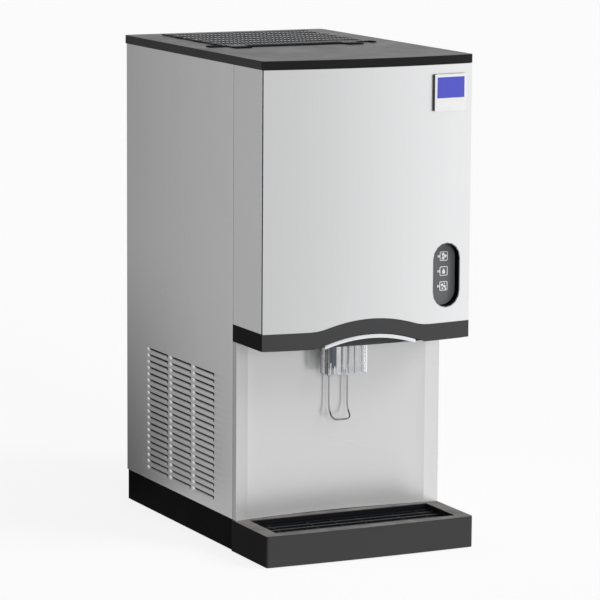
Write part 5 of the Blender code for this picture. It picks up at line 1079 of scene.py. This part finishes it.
def studio():
    """Plain pale studio: white for the camera, walls of even tone for gloss, and for everything else one
    broad soft light, whose strength is a power of the cosine from its middle."""
    world = bpy.data.worlds.new("studio")
    bpy.context.scene.world = world
    world.use_nodes = True
    tree = world.node_tree
    place = add_node(tree, "ShaderNodeTexCoord").outputs["Generated"]
    forward = product(tree, along(tree, place, "Y"), -1.0)
    turn = math_node(tree, "ARCTAN2", along(tree, place, "X"), forward)
    turn = math_node(tree, "ADD", math_node(tree, "DIVIDE", turn, 2 * math.pi), 0.5)
    ramp = add_node(tree, "ShaderNodeValToRGB", {"Fac": turn})
    ramp.color_ramp.interpolation = "B_SPLINE"
    while len(ramp.color_ramp.elements) < len(WALLS):
        ramp.color_ramp.elements.new(0.5)
    for stop, (bearing, level) in zip(ramp.color_ramp.elements, WALLS):
        stop.position = bearing / 360 + 0.5
        stop.color = (*[level / WALL_STRENGTH] * 3, 1)
    walls = tree.nodes["Background"]
    feed(walls, {"Color": ramp.outputs["Color"], "Strength": WALL_STRENGTH})
    middle = bearing_to(*SOFT_FROM)
    toward = add_node(tree, "ShaderNodeVectorMath", {0: place, 1: middle}, operation="DOT_PRODUCT")
    cosine = math_node(tree, "MAXIMUM", toward.outputs["Value"], 0.0)
    lobe = product(tree, math_node(tree, "POWER", cosine, SOFT_POWER), SOFT_LEVEL)
    soft = add_node(tree, "ShaderNodeBackground", {"Strength": lobe})
    seen = add_node(tree, "ShaderNodeBackground", {"Color": (1, 1, 1, 1)})
    ray = add_node(tree, "ShaderNodeLightPath")
    lit = mixed_shader(tree, ray.outputs["Is Diffuse Ray"], walls.outputs[0], soft.outputs[0])
    surface = mixed_shader(tree, ray.outputs["Is Camera Ray"], lit, seen.outputs[0])
    feed(tree.nodes["World Output"], {"Surface": surface})


def stage_sheet(name, corners, material):
    """A flat sheet of the studio with one face."""
    mesh = bpy.data.meshes.new(name)
    mesh.from_pydata(corners, [], [(0, 1, 2, 3)])
    mesh.materials.append(material)
    sheet = bpy.data.objects.new(name, mesh)
    bpy.context.scene.collection.objects.link(sheet)
    return sheet


FLOOR_REACH = 30.0
FLOOR_DROP = 0.0005
FLOOR_GLOW = 1.10
FLOOR_GLOW_SHARE = 0.78


def floor():
    """Pale floor: for the camera mostly its own white, with enough lit colour in it to keep a soft shadow.
    Gloss and soft light pass it by, so that they meet the studio's walls."""
    material, tree, shader = bare_finish("pale floor", (0.80, 0.80, 0.80), 0.9, specular=0.1)
    glow = add_node(tree, "ShaderNodeEmission", {"Color": (1, 1, 1, 1), "Strength": FLOOR_GLOW})
    share = product(tree, add_node(tree, "ShaderNodeLightPath").outputs["Is Camera Ray"], FLOOR_GLOW_SHARE)
    surface = mixed_shader(tree, share, shader.outputs[0], glow.outputs[0])
    feed(tree.nodes["Material Output"], {"Surface": surface})
    corners = lifted(rectangle(-FLOOR_REACH, FLOOR_REACH, -FLOOR_REACH, FLOOR_REACH), cad_low.z - FLOOR_DROP)
    ground = stage_sheet("floor", corners, material)
    ground.visible_glossy = False
    ground.visible_diffuse = False


FLAG_CORNER = (-0.206, 0.334, 0.0)
FLAG_SIZE = (0.27, 1.0)
FLAG_LOBE = 0.54
FLAG_DARKEST = 0.50
FLAG_SIDE = 0.26


def shade_flag():
    """Grey studio flag beside the machine's rear corner, which only gloss sees: painted shade in the steel's
    reflection, standing in for the floor's shadow there. It is darkest at its inner lower corner, fading with
    the distance from there and again with the distance across, so that it is clear at its far side."""
    material, tree, black = bare_finish("graded flag", (0.0, 0.0, 0.0), 0.5, specular=0.0)
    clear = add_node(tree, "ShaderNodeBsdfTransparent")
    place = object_place(tree)
    across = math_node(tree, "SUBTRACT", FLAG_CORNER[0], along(tree, place, "X"))
    across = math_node(tree, "DIVIDE", across, FLAG_SIZE[0])
    up = math_node(tree, "DIVIDE", along(tree, place, "Z"), FLAG_LOBE)
    squares = [math_node(tree, "POWER", math_node(tree, "MAXIMUM", part, 0.0), 2.0) for part in (across, up)]
    span = math_node(tree, "SQRT", math_node(tree, "ADD", *squares))
    fade = add_node(tree, "ShaderNodeMapRange", {"Value": span, "To Min": FLAG_DARKEST, "To Max": 0.0},
                    interpolation_type="SMOOTHSTEP")
    side = product(tree, math_node(tree, "SUBTRACT", 1.0, across), FLAG_SIDE)
    shade = math_node(tree, "ADD", fade.outputs["Result"], side, clamp=True)
    surface = mixed_shader(tree, shade, clear.outputs[0], black.outputs[0])
    feed(tree.nodes["Material Output"], {"Surface": surface})
    x, y, z = FLAG_CORNER
    corners = lifted(rectangle(x - FLAG_SIZE[0], x, z, z + FLAG_SIZE[1]), y, "Y")
    flag = stage_sheet("graded_flag", corners, material)
    flag.visible_camera = flag.visible_diffuse = flag.visible_shadow = flag.visible_transmission = False


camera()
studio()
floor()
shade_flag()
far_lamps()
bpy.context.scene.view_settings.view_transform = "Standard"
